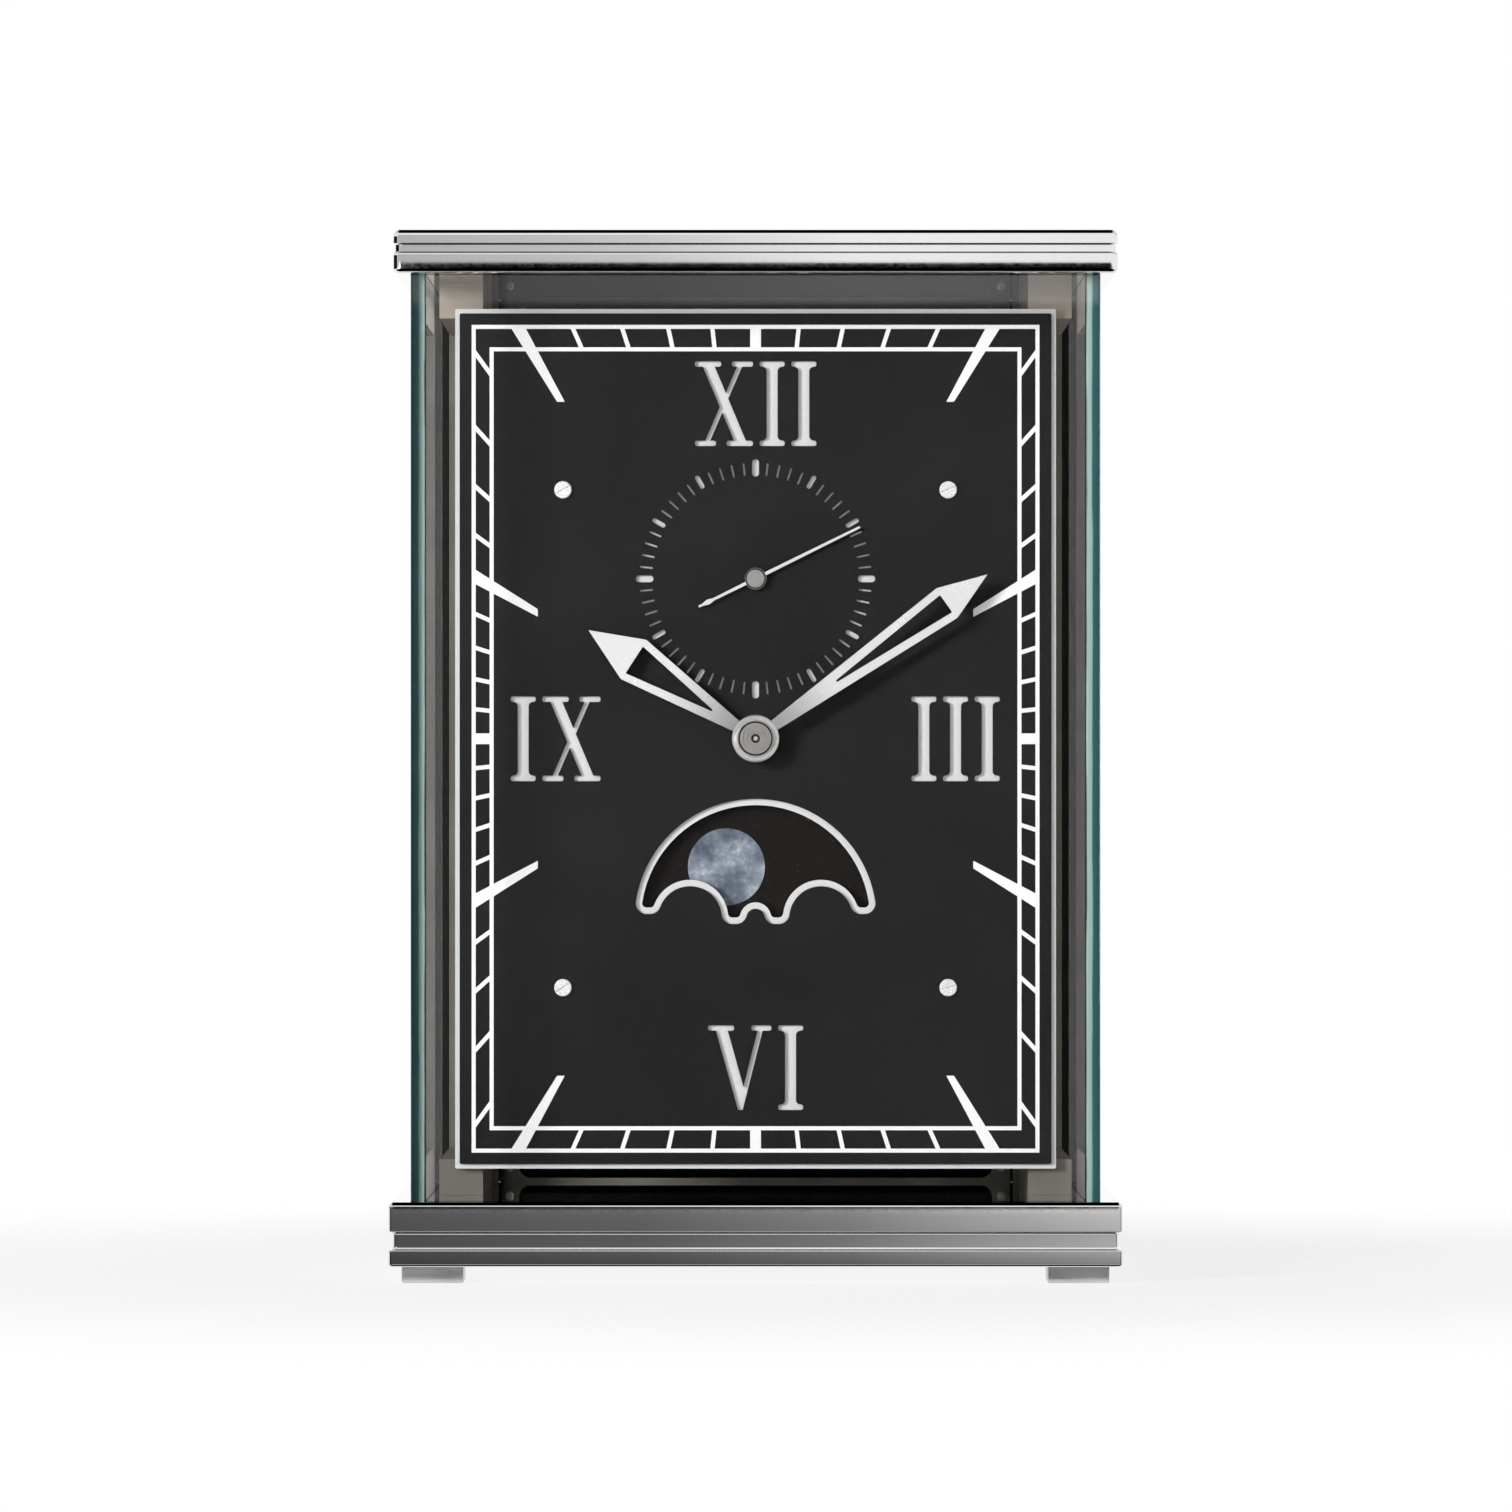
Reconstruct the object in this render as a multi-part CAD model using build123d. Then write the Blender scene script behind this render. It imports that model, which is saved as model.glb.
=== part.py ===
from build123d import *
import math
import os

# A table clock with a moon-phase dial, shown from all sides in a glass case.
# Lengths are millimetres and angles are degrees. X is to the right, the dial faces -Y
# and Z is up. The origin is under the middle of the base, where the feet stand.

# Fits and cuts
running_clearance = 0.05
seat_clearance = 0.02
groove_clearance = 0.1
overrun = 1.0

# Base block, cap block and feet
base_width = 195.0
base_depth = 145.0
base_height = 17.2
base_corner_round = 0.8
base_edge_round = 0.75
base_groove_start = 4.5
base_groove_height = 4.8
base_groove_depth = 1.15
base_groove_cove = 1.05
cap_width = 192.6
cap_depth = 142.6
cap_height = 11.6
cap_corner_round = 2.0
cap_top_round = 1.9
cap_bottom_round = 1.6
cap_groove_start = 5.7
cap_groove_height = 2.1
cap_groove_depth = 0.5
cap_groove_cove = 0.4
case_opening_height = 246.8
foot_size = 16.5
foot_height = 4.4
foot_inset = 3.4
foot_round = 1.0
foot_screw_radius = 1.6
foot_screw_head_radius = 3.0
foot_screw_head_height = 2.0
foot_screw_length = 10.0

# Glass panes
glass_width = 183.5
glass_depth = 133.5
pane_thickness = 4.0
pane_groove_depth = 1.0
pane_edge = 0.3

# Rails, uprights and rear posts
rail_width = 11.8
rail_height = 9.7
rail_gap_to_glass = 2.25
dial_setback = 46.6
post_width = 13.7
post_depth = 8.75
post_gap_to_glass = 2.05
upright_width = 6.0
upright_depth = 12.0
upright_inset = 0.8
rail_screw_radius = 1.5
rail_screw_head_radius = 2.6
rail_screw_head_height = 1.6
rail_screw_grip = 6.0
rail_screw_inset = 9.0
post_screw_inset = 2.9
upright_screw_radius = 1.25
upright_screw_head_radius = 2.2
upright_screw_head_height = 1.4
upright_screw_bite = 2.0
upright_screw_spacing = 180.0

# Rear door
door_side_gap = 0.4
door_lap = 4.2
door_stile = 5.2
door_thickness = 5.7
door_rear_setback = 0.25
door_opening_round = 3.4
door_pane_thickness = 3.0
door_pane_lap = 1.5
door_pane_gap = 0.1
door_pin_radius = 1.2
door_pin_length = 7.4
door_pin_grip = 3.4
door_knob_spigot_radius = 0.9
door_knob_neck_radius = 1.6
door_knob_neck = 2.0
door_knob_radius = 4.2
door_knob_head = 3.6
door_knob_round = 1.2
door_screw_radius = 0.7
door_screw_head_radius = 1.2
door_screw_head_height = 0.5
door_screw_length = 2.0
door_catch_radius = 1.8
door_catch_length = 4.0
door_catch_gap = 0.3
door_catch_inset = 16.0

# Dial plates and their screws
back_dial_width = 162.3
back_dial_height = 232.2
back_dial_thickness = 3.0
dial_width = 159.8
dial_height = 229.7
dial_thickness = 1.1
dial_corner_round = 0.5
dial_screw_x = 52.0
dial_screw_z = 67.2
dial_screw_radius = 1.25
dial_screw_head_radius = 2.35
dial_screw_head_height = 1.0
dial_screw_bite = 5.0
dial_screw_turns = (28.0, 22.0, 35.0, 17.0)
pillar_radius = 3.5
dial_pillar_length = 9.0
dial_pillar_stud_radius = 1.6
dial_pillar_stud_length = 8.0
hands_hole_radius = 3.2
seconds_hole_radius = 1.4

# Minute track, printed on the dial
print_thickness = 0.1
track_outer_width = 153.3
track_outer_height = 223.5
track_inner_width = 143.6
track_inner_height = 211.4
track_line = 1.08
minute_tick_width = 1.13
quarter_mark_width = 2.9
hour_bar_outer_width = 3.45
hour_bar_inner_width = 1.75
hour_bar_end_x = 58.8
hour_bar_end_z = 91.0

# Seconds ring, cut through the dial: inner radius, outer radius and width of each slot
quarter_slot_inner = 27.6
quarter_slot_outer = 32.3
quarter_slot_width = 1.86
five_slot_inner = 28.2
five_slot_outer = 32.1
five_slot_width = 1.24
fine_slot_inner = 27.9
fine_slot_outer = 31.4
fine_slot_width = 0.5

# Roman numerals, cut through the dial
numeral_height = 22.9
serif_thickness = 1.5
serif_round = 0.6
glyph_gap = 1.8
stem_width = 2.95
stem_serif_width = 6.75
stem_bracket = 1.2
thick_stroke = 3.2
thin_stroke = 1.35
cross_width = 15.7
cross_wide_serif = 7.1
cross_narrow_serif = 5.7
cross_thick_top = 3.15
cross_thick_bottom = 12.8
cross_thin_top = 12.7
cross_thin_bottom = 2.85
vee_width = 17.1
vee_wide_serif = 7.0
vee_narrow_serif = 5.4
vee_tip = 8.72
vee_tip_width = 1.24
vee_thick_top = 3.3
vee_thin_top = 14.4
top_numeral_z = 90.5
bottom_numeral_z = -88.8
side_numeral_x = 54.0

# Moon window: the opening in the rear dial plate, which the front one shows a rim of
sky_radius = 31.0
sky_rim = 1.7
hump_radius = 10.3
hump_x = 17.7
hump_z = 0.5
middle_hump_radius = 4.2
outer_lobe_z = 3.3
inner_lobe_z = 0.6
lobe_round = 1.2

# Movement frame
plate_width = 116.0
plate_height = 147.0
plate_thickness = 3.0
plate_gap = 30.0
plate_corner_round = 4.0
frame_pillar_radius = 4.0
frame_pillar_bore_depth = 12.0
pillar_screw_radius = 1.6
pillar_screw_head_radius = 3.2
pillar_screw_head_height = 1.5
pillar_screw_length = 10.0
jewel_radius = 1.7
pivot_radius = 0.5
arbor_radius = 1.0
end_shake = 0.15
wheel_thickness = 1.0
pinion_length = 3.6

# Gear teeth: shares of the module, of half the tooth pitch, and of a saw tooth's pitch
addendum_share = 0.85
dedendum_share = 1.15
tooth_thickness_share = 0.78
saw_tip_share = 0.1
wheel_rim = 2.2
wheel_hub_radius = 3.6
wheel_spoke_width = 1.8
wheel_spokes = 4

# Going train: barrel, intermediate, centre, third, seconds and escape arbors
barrel_module = 0.55
barrel_teeth = 96
intermediate_pinion_teeth = 16
intermediate_module = 0.6
intermediate_wheel_teeth = 72
centre_pinion_teeth = 12
centre_module = 0.5
centre_wheel_teeth = 80
third_pinion_teeth = 10
third_module = 0.5
third_wheel_teeth = 75
seconds_pinion_teeth = 10
escape_module = 0.4
seconds_wheel_teeth = 80
escape_pinion_teeth = 8
intermediate_direction = 209.2
barrel_direction = -35.0
third_lean = 8.84
escape_direction = -10.0
centre_wheel_lift = 5.4
centre_pinion_lift = 8.4
intermediate_wheel_lift = 9.9
third_wheel_lift = 15.9
third_pinion_lift = 4.1
seconds_wheel_lift = 20.9
seconds_pinion_lift = 14.6
escape_pinion_lift = 19.6

# Barrel and winding work
drum_radius = 25.0
drum_wall = 1.5
drum_lift = 13.9
drum_length = 13.0
barrel_flange = 2.5
barrel_lid_thickness = 1.2
barrel_arbor_radius = 3.0
barrel_core_radius = 5.0
mainspring_thickness = 0.5
mainspring_pitch = 1.7
mainspring_half_turns = 20
mainspring_side_gap = 0.4
winding_square = 4.2
winding_square_length = 10.9
ratchet_teeth = 24
ratchet_tip_radius = 9.4
ratchet_tooth_depth = 1.4
ratchet_thickness = 1.5
ratchet_gap = 0.3
click_distance = 15.0
click_direction = 60.0
click_tip_turn = 35.0
click_lift_gap = 0.4
click_hub_radius = 2.3
click_tip_width = 0.8
click_screw_radius = 1.0
click_screw_head_radius = 1.8
click_screw_head_height = 0.8
click_screw_bite = 2.5

# Escapement and balance
escape_wheel_teeth = 15
escape_tip_radius = 6.5
escape_tooth_depth = 1.6
escape_wheel_thickness = 0.8
escape_wheel_gap = 1.4
fork_distance = 9.0
fork_pallet_half_angle = 28.0
fork_pallet_gap = 1.25
fork_pallet_radius = 0.5
fork_arm_width = 1.2
fork_hub_radius = 1.3
balance_distance = 13.0
fork_tail_gap = 2.6
fork_notch = 0.6
bridge_lift = 4.0
bridge_thickness = 1.5
bridge_width = 4.8
bridge_near_foot = 10.0
bridge_far_foot = 8.0
bridge_far_turn = 97.0
balance_radius = 11.0
balance_rim = 1.3
balance_thickness = 1.2
balance_lift = 6.4
balance_arm_width = 1.6
balance_hub_radius = 1.8
balance_staff_radius = 0.7
roller_lift = 2.9
roller_thickness = 0.8
hairspring_inner_radius = 2.2
hairspring_thickness = 0.25
hairspring_height = 1.0
hairspring_pitch = 0.8
hairspring_half_turns = 15
hairspring_lift = 8.7
hairspring_stud_radius = 0.5
hairspring_stud_gap = 0.25
cock_lift = 10.9
cock_thickness = 2.0
cock_width = 8.0
cock_direction = 53.0
cock_foot_gap = 0.6
bridge_screw_radius = 1.0
bridge_screw_head_radius = 1.7
bridge_screw_head_height = 0.7

# Motion works and moon train, in front of the movement
cannon_module = 0.5
cannon_teeth = 12
minute_wheel_teeth = 36
hour_module = 0.48
minute_pinion_teeth = 10
hour_wheel_teeth = 40
minute_stud_direction = 150.0
moon_module = 0.5
hour_pipe_pinion_teeth = 12
transfer_wheel_teeth = 84
transfer_pinion_teeth = 8
moon_disc_teeth = 135
transfer_lean = 43.97
motion_wheel_thickness = 0.8
cannon_lift = 0.8
cannon_pinion_length = 1.6
minute_wheel_lift = 1.2
minute_pinion_length = 1.4
hour_wheel_lift = 3.1
hour_pinion_lift = 4.7
hour_pinion_length = 1.6
transfer_wheel_lift = 5.1
moon_disc_lift = 7.6
moon_disc_thickness = 0.8
moon_hub_radius = 4.0
moon_hub_length = 1.5
moon_face_radius = 10.4
moon_orbit_radius = 16.3
moon_face_turn = 118.9
stud_radius = 0.8
moon_stud_radius = 1.5
stud_flange = 0.5
stud_press_radius = 1.1
centre_arbor_front_radius = 0.8
cannon_pipe_radius = 1.5
hour_pipe_radius = 2.3
setting_knob_radius = 6.0
setting_knob_length = 6.0
setting_knob_gap = 3.0
setting_knob_flutes = 24
setting_knob_flute_radius = 0.45

# Hands, which show nine minutes past ten
hand_thickness = 1.0
hour_hand_angle = 303.0
hour_hand_stand_off = 3.4
hour_hand_tip = 53.7
hour_hand_shoulder = 39.2
hour_hand_half_width = 6.3
hour_hand_neck = 1.58
hour_window_half_width = 4.32
hour_window_start = 12.4
hour_window_end = 39.0
minute_hand_angle = 54.7
minute_hand_gap = 1.4
minute_hand_tip = 76.5
minute_hand_shoulder = 63.2
minute_hand_half_width = 4.87
minute_hand_neck = 1.5
minute_window_half_width = 2.85
minute_window_start = 22.7
minute_window_end = 62.9
hand_hub_radius = 6.35
hand_corner_round = 0.3
nut_radius = 4.55
nut_thickness = 1.4
nut_ring_radius = 2.7
nut_ring_step = 0.4
nut_hole_radius = 1.23
nut_edge = 0.3
seconds_hand_angle = 63.7
seconds_hand_stand_off = 1.3
seconds_hand_thickness = 0.5
seconds_hand_tip = 31.4
seconds_hand_tail = 17.1
seconds_hand_root_width = 0.93
seconds_hand_tip_width = 0.62
seconds_diamond_middle = 14.2
seconds_diamond_length = 5.8
seconds_diamond_width = 1.5
seconds_hub_radius = 2.8
seconds_cap_radius = 2.4
seconds_cap_height = 0.5
seconds_arbor_front_radius = 0.6

# Heights of the case
base_bottom = foot_height
base_top = base_bottom + base_height
cap_bottom = base_top + case_opening_height
hands_z = (base_top + cap_bottom) / 2

# Places across the case
base_front = -base_depth / 2
glass_front = -glass_depth / 2
glass_rear = glass_depth / 2
glass_inner_x = glass_width / 2 - pane_thickness
rail_outer_x = glass_inner_x - rail_gap_to_glass
rail_inner_x = rail_outer_x - rail_width
post_outer_x = glass_inner_x - post_gap_to_glass
post_inner_x = post_outer_x - post_width
post_front = glass_rear - post_depth
upright_inner_x = rail_inner_x + upright_inset
pane_bottom = base_top - pane_groove_depth
pane_top = cap_bottom + pane_groove_depth - groove_clearance

# Depths of the dial and the movement
dial_rear = base_front + dial_setback
back_dial_front = dial_rear - back_dial_thickness
dial_front = back_dial_front - dial_thickness
front_plate_front = dial_rear + dial_pillar_length
front_plate_rear = front_plate_front + plate_thickness
back_plate_front = front_plate_rear + plate_gap
back_plate_rear = back_plate_front + plate_thickness

# Door
door_half_width = post_inner_x - door_side_gap
door_rear = glass_rear - door_rear_setback
door_front = door_rear - door_thickness
door_bottom = base_top - door_lap
door_top = cap_bottom + door_lap
door_hinge_x = -door_half_width + door_thickness / 2
door_hinge_y = door_rear - door_thickness / 2
door_stile_x = door_half_width - door_stile / 2


def polar(start, distance, direction):
    """The place that lies at a distance from another, in a direction turned from +X."""
    turn = math.radians(direction)
    return (start[0] + distance * math.cos(turn), start[1] + distance * math.sin(turn))


def heading(start, end):
    """The direction from one place to another."""
    return math.degrees(math.atan2(end[1] - start[1], end[0] - start[0]))


def mesh_distance(module, first_teeth, second_teeth):
    """The distance between two arbors whose gears mesh."""
    return module * (first_teeth + second_teeth) / 2


# Arbor places in the dial's plane, as X and height above the hands' centre
centre_at = (0, 0)
intermediate_distance = mesh_distance(intermediate_module, intermediate_wheel_teeth, centre_pinion_teeth)
intermediate_at = polar(centre_at, intermediate_distance, intermediate_direction)
barrel_distance = mesh_distance(barrel_module, barrel_teeth, intermediate_pinion_teeth)
barrel_at = polar(intermediate_at, barrel_distance, barrel_direction)
third_distance = mesh_distance(centre_module, centre_wheel_teeth, third_pinion_teeth)
third_at = polar(centre_at, third_distance, 90 - third_lean)
seconds_distance = mesh_distance(third_module, third_wheel_teeth, seconds_pinion_teeth)
seconds_at = (0, third_at[1] + math.sqrt(seconds_distance ** 2 - third_at[0] ** 2))
escape_distance = mesh_distance(escape_module, seconds_wheel_teeth, escape_pinion_teeth)
escape_at = polar(seconds_at, escape_distance, escape_direction)
fork_at = polar(escape_at, fork_distance, escape_direction)
balance_at = polar(fork_at, balance_distance, escape_direction)
cock_foot_at = polar(balance_at, balance_radius + cock_foot_gap + cock_width / 2, cock_direction)
bridge_near_at = polar(escape_at, bridge_near_foot, escape_direction + 180)
bridge_far_at = polar(fork_at, bridge_far_foot, escape_direction + bridge_far_turn)
click_at = polar(barrel_at, click_distance, click_direction)
minute_distance = mesh_distance(cannon_module, cannon_teeth, minute_wheel_teeth)
minute_at = polar(centre_at, minute_distance, minute_stud_direction)
transfer_distance = mesh_distance(moon_module, hour_pipe_pinion_teeth, transfer_wheel_teeth)
transfer_at = polar(centre_at, transfer_distance, transfer_lean - 90)
moon_distance = mesh_distance(moon_module, transfer_pinion_teeth, moon_disc_teeth)
moon_at = (0, transfer_at[1] - math.sqrt(moon_distance ** 2 - transfer_at[0] ** 2))

# The four corners that hold the dial, its pillars and the movement's pillars
corner_places = [(side * dial_screw_x, rise * dial_screw_z) for rise in (1, -1) for side in (-1, 1)]


def block(x_range, y_range, z_range):
    """A rectangular block between two places along each axis."""
    sizes = [end - start for start, end in (x_range, y_range, z_range)]
    middles = [(start + end) / 2 for start, end in (x_range, y_range, z_range)]
    return Pos(*middles) * Box(*sizes)


def mirrored(x_range):
    """The same stretch of X on the left and on the right side."""
    return [(-x_range[1], -x_range[0]), x_range]


def facing(y, at=(0, 0)):
    """The plane that looks forwards at depth y, with X across and Z up from the hands' centre."""
    return Plane(origin=(at[0], y, hands_z + at[1]), x_dir=(1, 0, 0), z_dir=(0, -1, 0))


def backing(y, at=(0, 0)):
    """The plane that looks backwards at depth y, with Z up from the hands' centre."""
    return Plane(origin=(at[0], y, hands_z + at[1]), x_dir=(-1, 0, 0), z_dir=(0, 1, 0))


def slab(sketch, front, rear):
    """A flat outline in the dial's plane, given its depth from front to rear."""
    return extrude(facing(rear) * sketch, amount=rear - front)


def disc(radius, front, rear, at=(0, 0)):
    """A round disc, shaft or hole along Y."""
    return slab(Pos(*at) * Circle(radius), front, rear)


def bar(start, end, width):
    """A flat bar with round ends between two places."""
    middle = ((start[0] + end[0]) / 2, (start[1] + end[1]) / 2)
    length = math.dist(start, end)
    return Pos(*middle) * Rot(0, 0, heading(start, end)) * SlotCenterToCenter(length, width)


def screw(head_radius, head_height, shank_radius, shank_length, turn=0):
    """A slotted screw with its head above z = 0 and its shank below."""
    head = Cylinder(head_radius, head_height, align=(Align.CENTER, Align.CENTER, Align.MIN))
    head = chamfer(head.edges().sort_by(Axis.Z)[-1], head_height / 4)
    slot = Box(2 * head_radius, head_radius / 5, head_height)
    slot = Pos(0, 0, head_height) * Rot(0, 0, turn) * slot
    shank = Cylinder(shank_radius, shank_length, align=(Align.CENTER, Align.CENTER, Align.MAX))
    return head + shank - slot


def group(solids):
    """Several loose pieces of one kind, kept as separate solids."""
    return Compound(children=list(solids))


# Case


def case_block(width, depth, height, corner, top_round, bottom_round):
    """A solid block standing on z = 0, with rounded corners and edges."""
    solid = Pos(0, 0, height / 2) * Box(width, depth, height)
    solid = fillet(solid.edges().filter_by(Axis.Z), corner)
    solid = fillet(solid.faces().sort_by(Axis.Z)[-1].edges(), top_round)
    return fillet(solid.faces().sort_by(Axis.Z)[0].edges(), bottom_round)


def milled_groove(width, depth, start, height, inset, cove):
    """The four bars that mill one coved groove round a block."""
    section = fillet(Rectangle(2 * inset, height).vertices(), cove)
    bars = []
    for turn in (0, 90, 180, 270):
        across, reach = (width, depth) if turn % 180 == 0 else (depth, width)
        cutter = extrude(Plane.YZ * section, amount=across / 2 + overrun, both=True)
        bars.append(Rot(0, 0, turn) * Pos(0, -reach / 2, start + height / 2) * cutter)
    return bars


def pane_grooves(z_range):
    """The grooves that seat the front pane and the two side panes."""
    gap = groove_clearance
    front_y = (glass_front - gap, glass_front + pane_thickness + gap)
    side_y = (glass_front, glass_rear + gap)
    side_x = (glass_inner_x - gap, glass_width / 2 + gap)
    grooves = [block((-glass_width / 2 - gap, glass_width / 2 + gap), front_y, z_range)]
    grooves += [block(x_range, side_y, z_range) for x_range in mirrored(side_x)]
    return grooves


def door_rebate(z_range):
    """The step at the rear that the door laps, open to the back."""
    return block((-post_inner_x, post_inner_x), (door_front - door_side_gap, base_depth), z_range)


def rail_screw_places():
    """Where a screw joins each rail and each rear post to the block it stands on."""
    rail_x = (rail_inner_x + rail_outer_x) / 2
    rail_y = (dial_rear + rail_screw_inset, post_front - rail_screw_inset)
    post_x = post_inner_x + post_screw_inset
    places = [(side * rail_x, y) for side in (-1, 1) for y in rail_y]
    places += [(side * post_x, (post_front + glass_rear) / 2) for side in (-1, 1)]
    return places


def hinge_pin_place(z):
    """The door's hinge axis at a height."""
    return Pos(door_hinge_x, door_hinge_y, z)


def foot_places():
    """The middle of each foot."""
    x = base_width / 2 - foot_inset - foot_size / 2
    y = base_depth / 2 - foot_inset - foot_size / 2
    return [(side * x, end * y) for end in (-1, 1) for side in (-1, 1)]


def base_block():
    """The base: a milled block with a coved groove, pane grooves and a rear step for the door."""
    solid = case_block(base_width, base_depth, base_height, base_corner_round, base_edge_round,
                       base_edge_round)
    solid -= milled_groove(base_width, base_depth, base_groove_start, base_groove_height,
                           base_groove_depth, base_groove_cove)
    solid = Pos(0, 0, base_bottom) * solid
    solid -= pane_grooves((pane_bottom, base_top + overrun))
    solid -= door_rebate((door_bottom - door_side_gap, base_top + overrun))
    pin_hole = Cylinder(door_pin_radius + running_clearance, 2 * (door_pin_length - door_pin_grip))
    solid -= hinge_pin_place(door_bottom - door_side_gap) * pin_hole
    hole = Cylinder(rail_screw_radius + seat_clearance, 2 * base_height)
    head = Cylinder(rail_screw_head_radius + seat_clearance, 2 * rail_screw_head_height)
    for x, y in rail_screw_places():
        solid -= [Pos(x, y, base_top) * hole, Pos(x, y, base_bottom) * head]
    foot_hole = Cylinder(foot_screw_radius + seat_clearance, 2 * foot_screw_length)
    solid -= [Pos(x, y, base_bottom) * foot_hole for x, y in foot_places()]
    return solid


def cap_block():
    """The cap: a thinner milled block over the glass."""
    solid = case_block(cap_width, cap_depth, cap_height, cap_corner_round, cap_top_round,
                       cap_bottom_round)
    solid -= milled_groove(cap_width, cap_depth, cap_groove_start, cap_groove_height,
                           cap_groove_depth, cap_groove_cove)
    solid = Pos(0, 0, cap_bottom) * solid
    solid -= pane_grooves((cap_bottom - overrun, cap_bottom + pane_groove_depth))
    solid -= door_rebate((cap_bottom - overrun, door_top + door_side_gap))
    pin_hole = Cylinder(door_pin_radius + running_clearance, 2 * (door_pin_length - door_pin_grip))
    solid -= hinge_pin_place(door_top + door_side_gap) * pin_hole
    hole = Cylinder(rail_screw_radius + seat_clearance, 2 * rail_screw_grip)
    solid -= [Pos(x, y, cap_bottom) * hole for x, y in rail_screw_places()[:4]]
    solid -= catch_pocket()
    return solid


def catch_place():
    """Where the magnet that holds the door sits in the cap's rear step."""
    return (door_half_width - door_catch_inset, cap_bottom + door_lap / 2 - hands_z)


def catch_pocket():
    """The hole for the magnet, from the step forwards."""
    front = door_front - door_catch_gap - door_catch_length
    return disc(door_catch_radius + seat_clearance, front, door_front + overrun, catch_place())


def feet():
    """Four square feet."""
    solids = []
    for x, y in foot_places():
        foot = Pos(x, y, foot_height / 2) * Box(foot_size, foot_size, foot_height)
        foot = fillet(foot.faces().sort_by(Axis.Z)[0].edges(), foot_round)
        head = Cylinder(foot_screw_head_radius + seat_clearance, 2 * foot_screw_head_height)
        hole = Cylinder(foot_screw_radius + seat_clearance, 2 * foot_height)
        solids.append(foot - Pos(x, y, 0) * head - Pos(x, y, foot_height) * hole)
    return group(solids)


def foot_screws():
    """The screws that hold the feet, driven from below."""
    one = screw(foot_screw_head_radius, foot_screw_head_height - seat_clearance, foot_screw_radius,
                foot_screw_length)
    seat = foot_screw_head_height
    return group(Pos(x, y, seat) * Rot(180, 0, 0) * one for x, y in foot_places())


def pane(x_range, y_range):
    """A standing pane of glass with its upright edges eased."""
    solid = block(x_range, y_range, (pane_bottom, pane_top))
    return chamfer(solid.edges().filter_by(Axis.Z), pane_edge)


def front_glass():
    """The front pane, which covers the side panes' front edges."""
    return pane((-glass_width / 2, glass_width / 2), (glass_front, glass_front + pane_thickness))


def side_glass(side):
    """A side pane, from behind the front pane to the rear."""
    x_range = mirrored((glass_inner_x, glass_width / 2))[0 if side < 0 else 1]
    return pane(x_range, (glass_front + pane_thickness, glass_rear))


def lower_rails():
    """Two rails on the base that carry the dial's frame."""
    z_range = (base_top, base_top + rail_height)
    rails = [block(x_range, (dial_rear, post_front), z_range)
             for x_range in mirrored((rail_inner_x, rail_outer_x))]
    hole = Cylinder(rail_screw_radius + seat_clearance, 2 * rail_screw_grip)
    holes = [Pos(x, y, base_top) * hole for x, y in rail_screw_places()[:4]]
    return group(rail - holes for rail in rails)


def upper_rails():
    """Two rails under the cap, above the lower ones."""
    z_range = (cap_bottom - rail_height, cap_bottom)
    rails = [block(x_range, (dial_rear, post_front), z_range)
             for x_range in mirrored((rail_inner_x, rail_outer_x))]
    hole = Cylinder(rail_screw_radius + seat_clearance, 4 * rail_height)
    head = Cylinder(rail_screw_head_radius + seat_clearance, 2 * rail_screw_head_height)
    cuts = []
    for x, y in rail_screw_places()[:4]:
        cuts += [Pos(x, y, cap_bottom) * hole, Pos(x, y, z_range[0]) * head]
    return group(rail - cuts for rail in rails)


def case_screws():
    """The screws up through the base and up through the upper rails, into what they hold."""
    levels = ((base_bottom, base_height, rail_screw_places()),
              (cap_bottom - rail_height, rail_height, rail_screw_places()[:4]))
    solids = []
    for underside, wall, places in levels:
        length = wall - rail_screw_head_height + rail_screw_grip - overrun
        one = screw(rail_screw_head_radius, rail_screw_head_height - seat_clearance,
                    rail_screw_radius, length)
        seat = underside + rail_screw_head_height
        solids += [Pos(x, y, seat) * Rot(180, 0, 0) * one for x, y in places]
    return group(solids)


def rear_post(side):
    """A post at the rear, beside the door."""
    x_range = mirrored((post_inner_x, post_outer_x))[0 if side < 0 else 1]
    solid = block(x_range, (post_front, glass_rear), (base_top, cap_bottom))
    hole = Cylinder(rail_screw_radius + seat_clearance, 2 * rail_screw_grip)
    return solid - [Pos(x, y, base_top) * hole for x, y in rail_screw_places()[4:]]


def upright_screw_places():
    """Where the rear dial plate is screwed to the uprights."""
    x = upright_inner_x + upright_width / 2
    return [(side * x, rise * upright_screw_spacing / 2) for rise in (1, -1) for side in (-1, 1)]


def dial_uprights():
    """Two uprights between the rails, behind the dial's edges."""
    z_range = (base_top + rail_height, cap_bottom - rail_height)
    y_range = (dial_rear, dial_rear + upright_depth)
    x_range = (upright_inner_x, upright_inner_x + upright_width)
    hole_radius = upright_screw_radius + seat_clearance
    holes = [disc(hole_radius, dial_rear - overrun, dial_rear + upright_depth + overrun, at)
             for at in upright_screw_places()]
    return group(block(x, y_range, z_range) - holes for x in mirrored(x_range))


def upright_screws():
    """The screws through the uprights into the rear dial plate."""
    one = screw(upright_screw_head_radius, upright_screw_head_height, upright_screw_radius,
                upright_depth + upright_screw_bite)
    seat = dial_rear + upright_depth
    return group(backing(seat, at).location * one for at in upright_screw_places())


# Rear door


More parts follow.
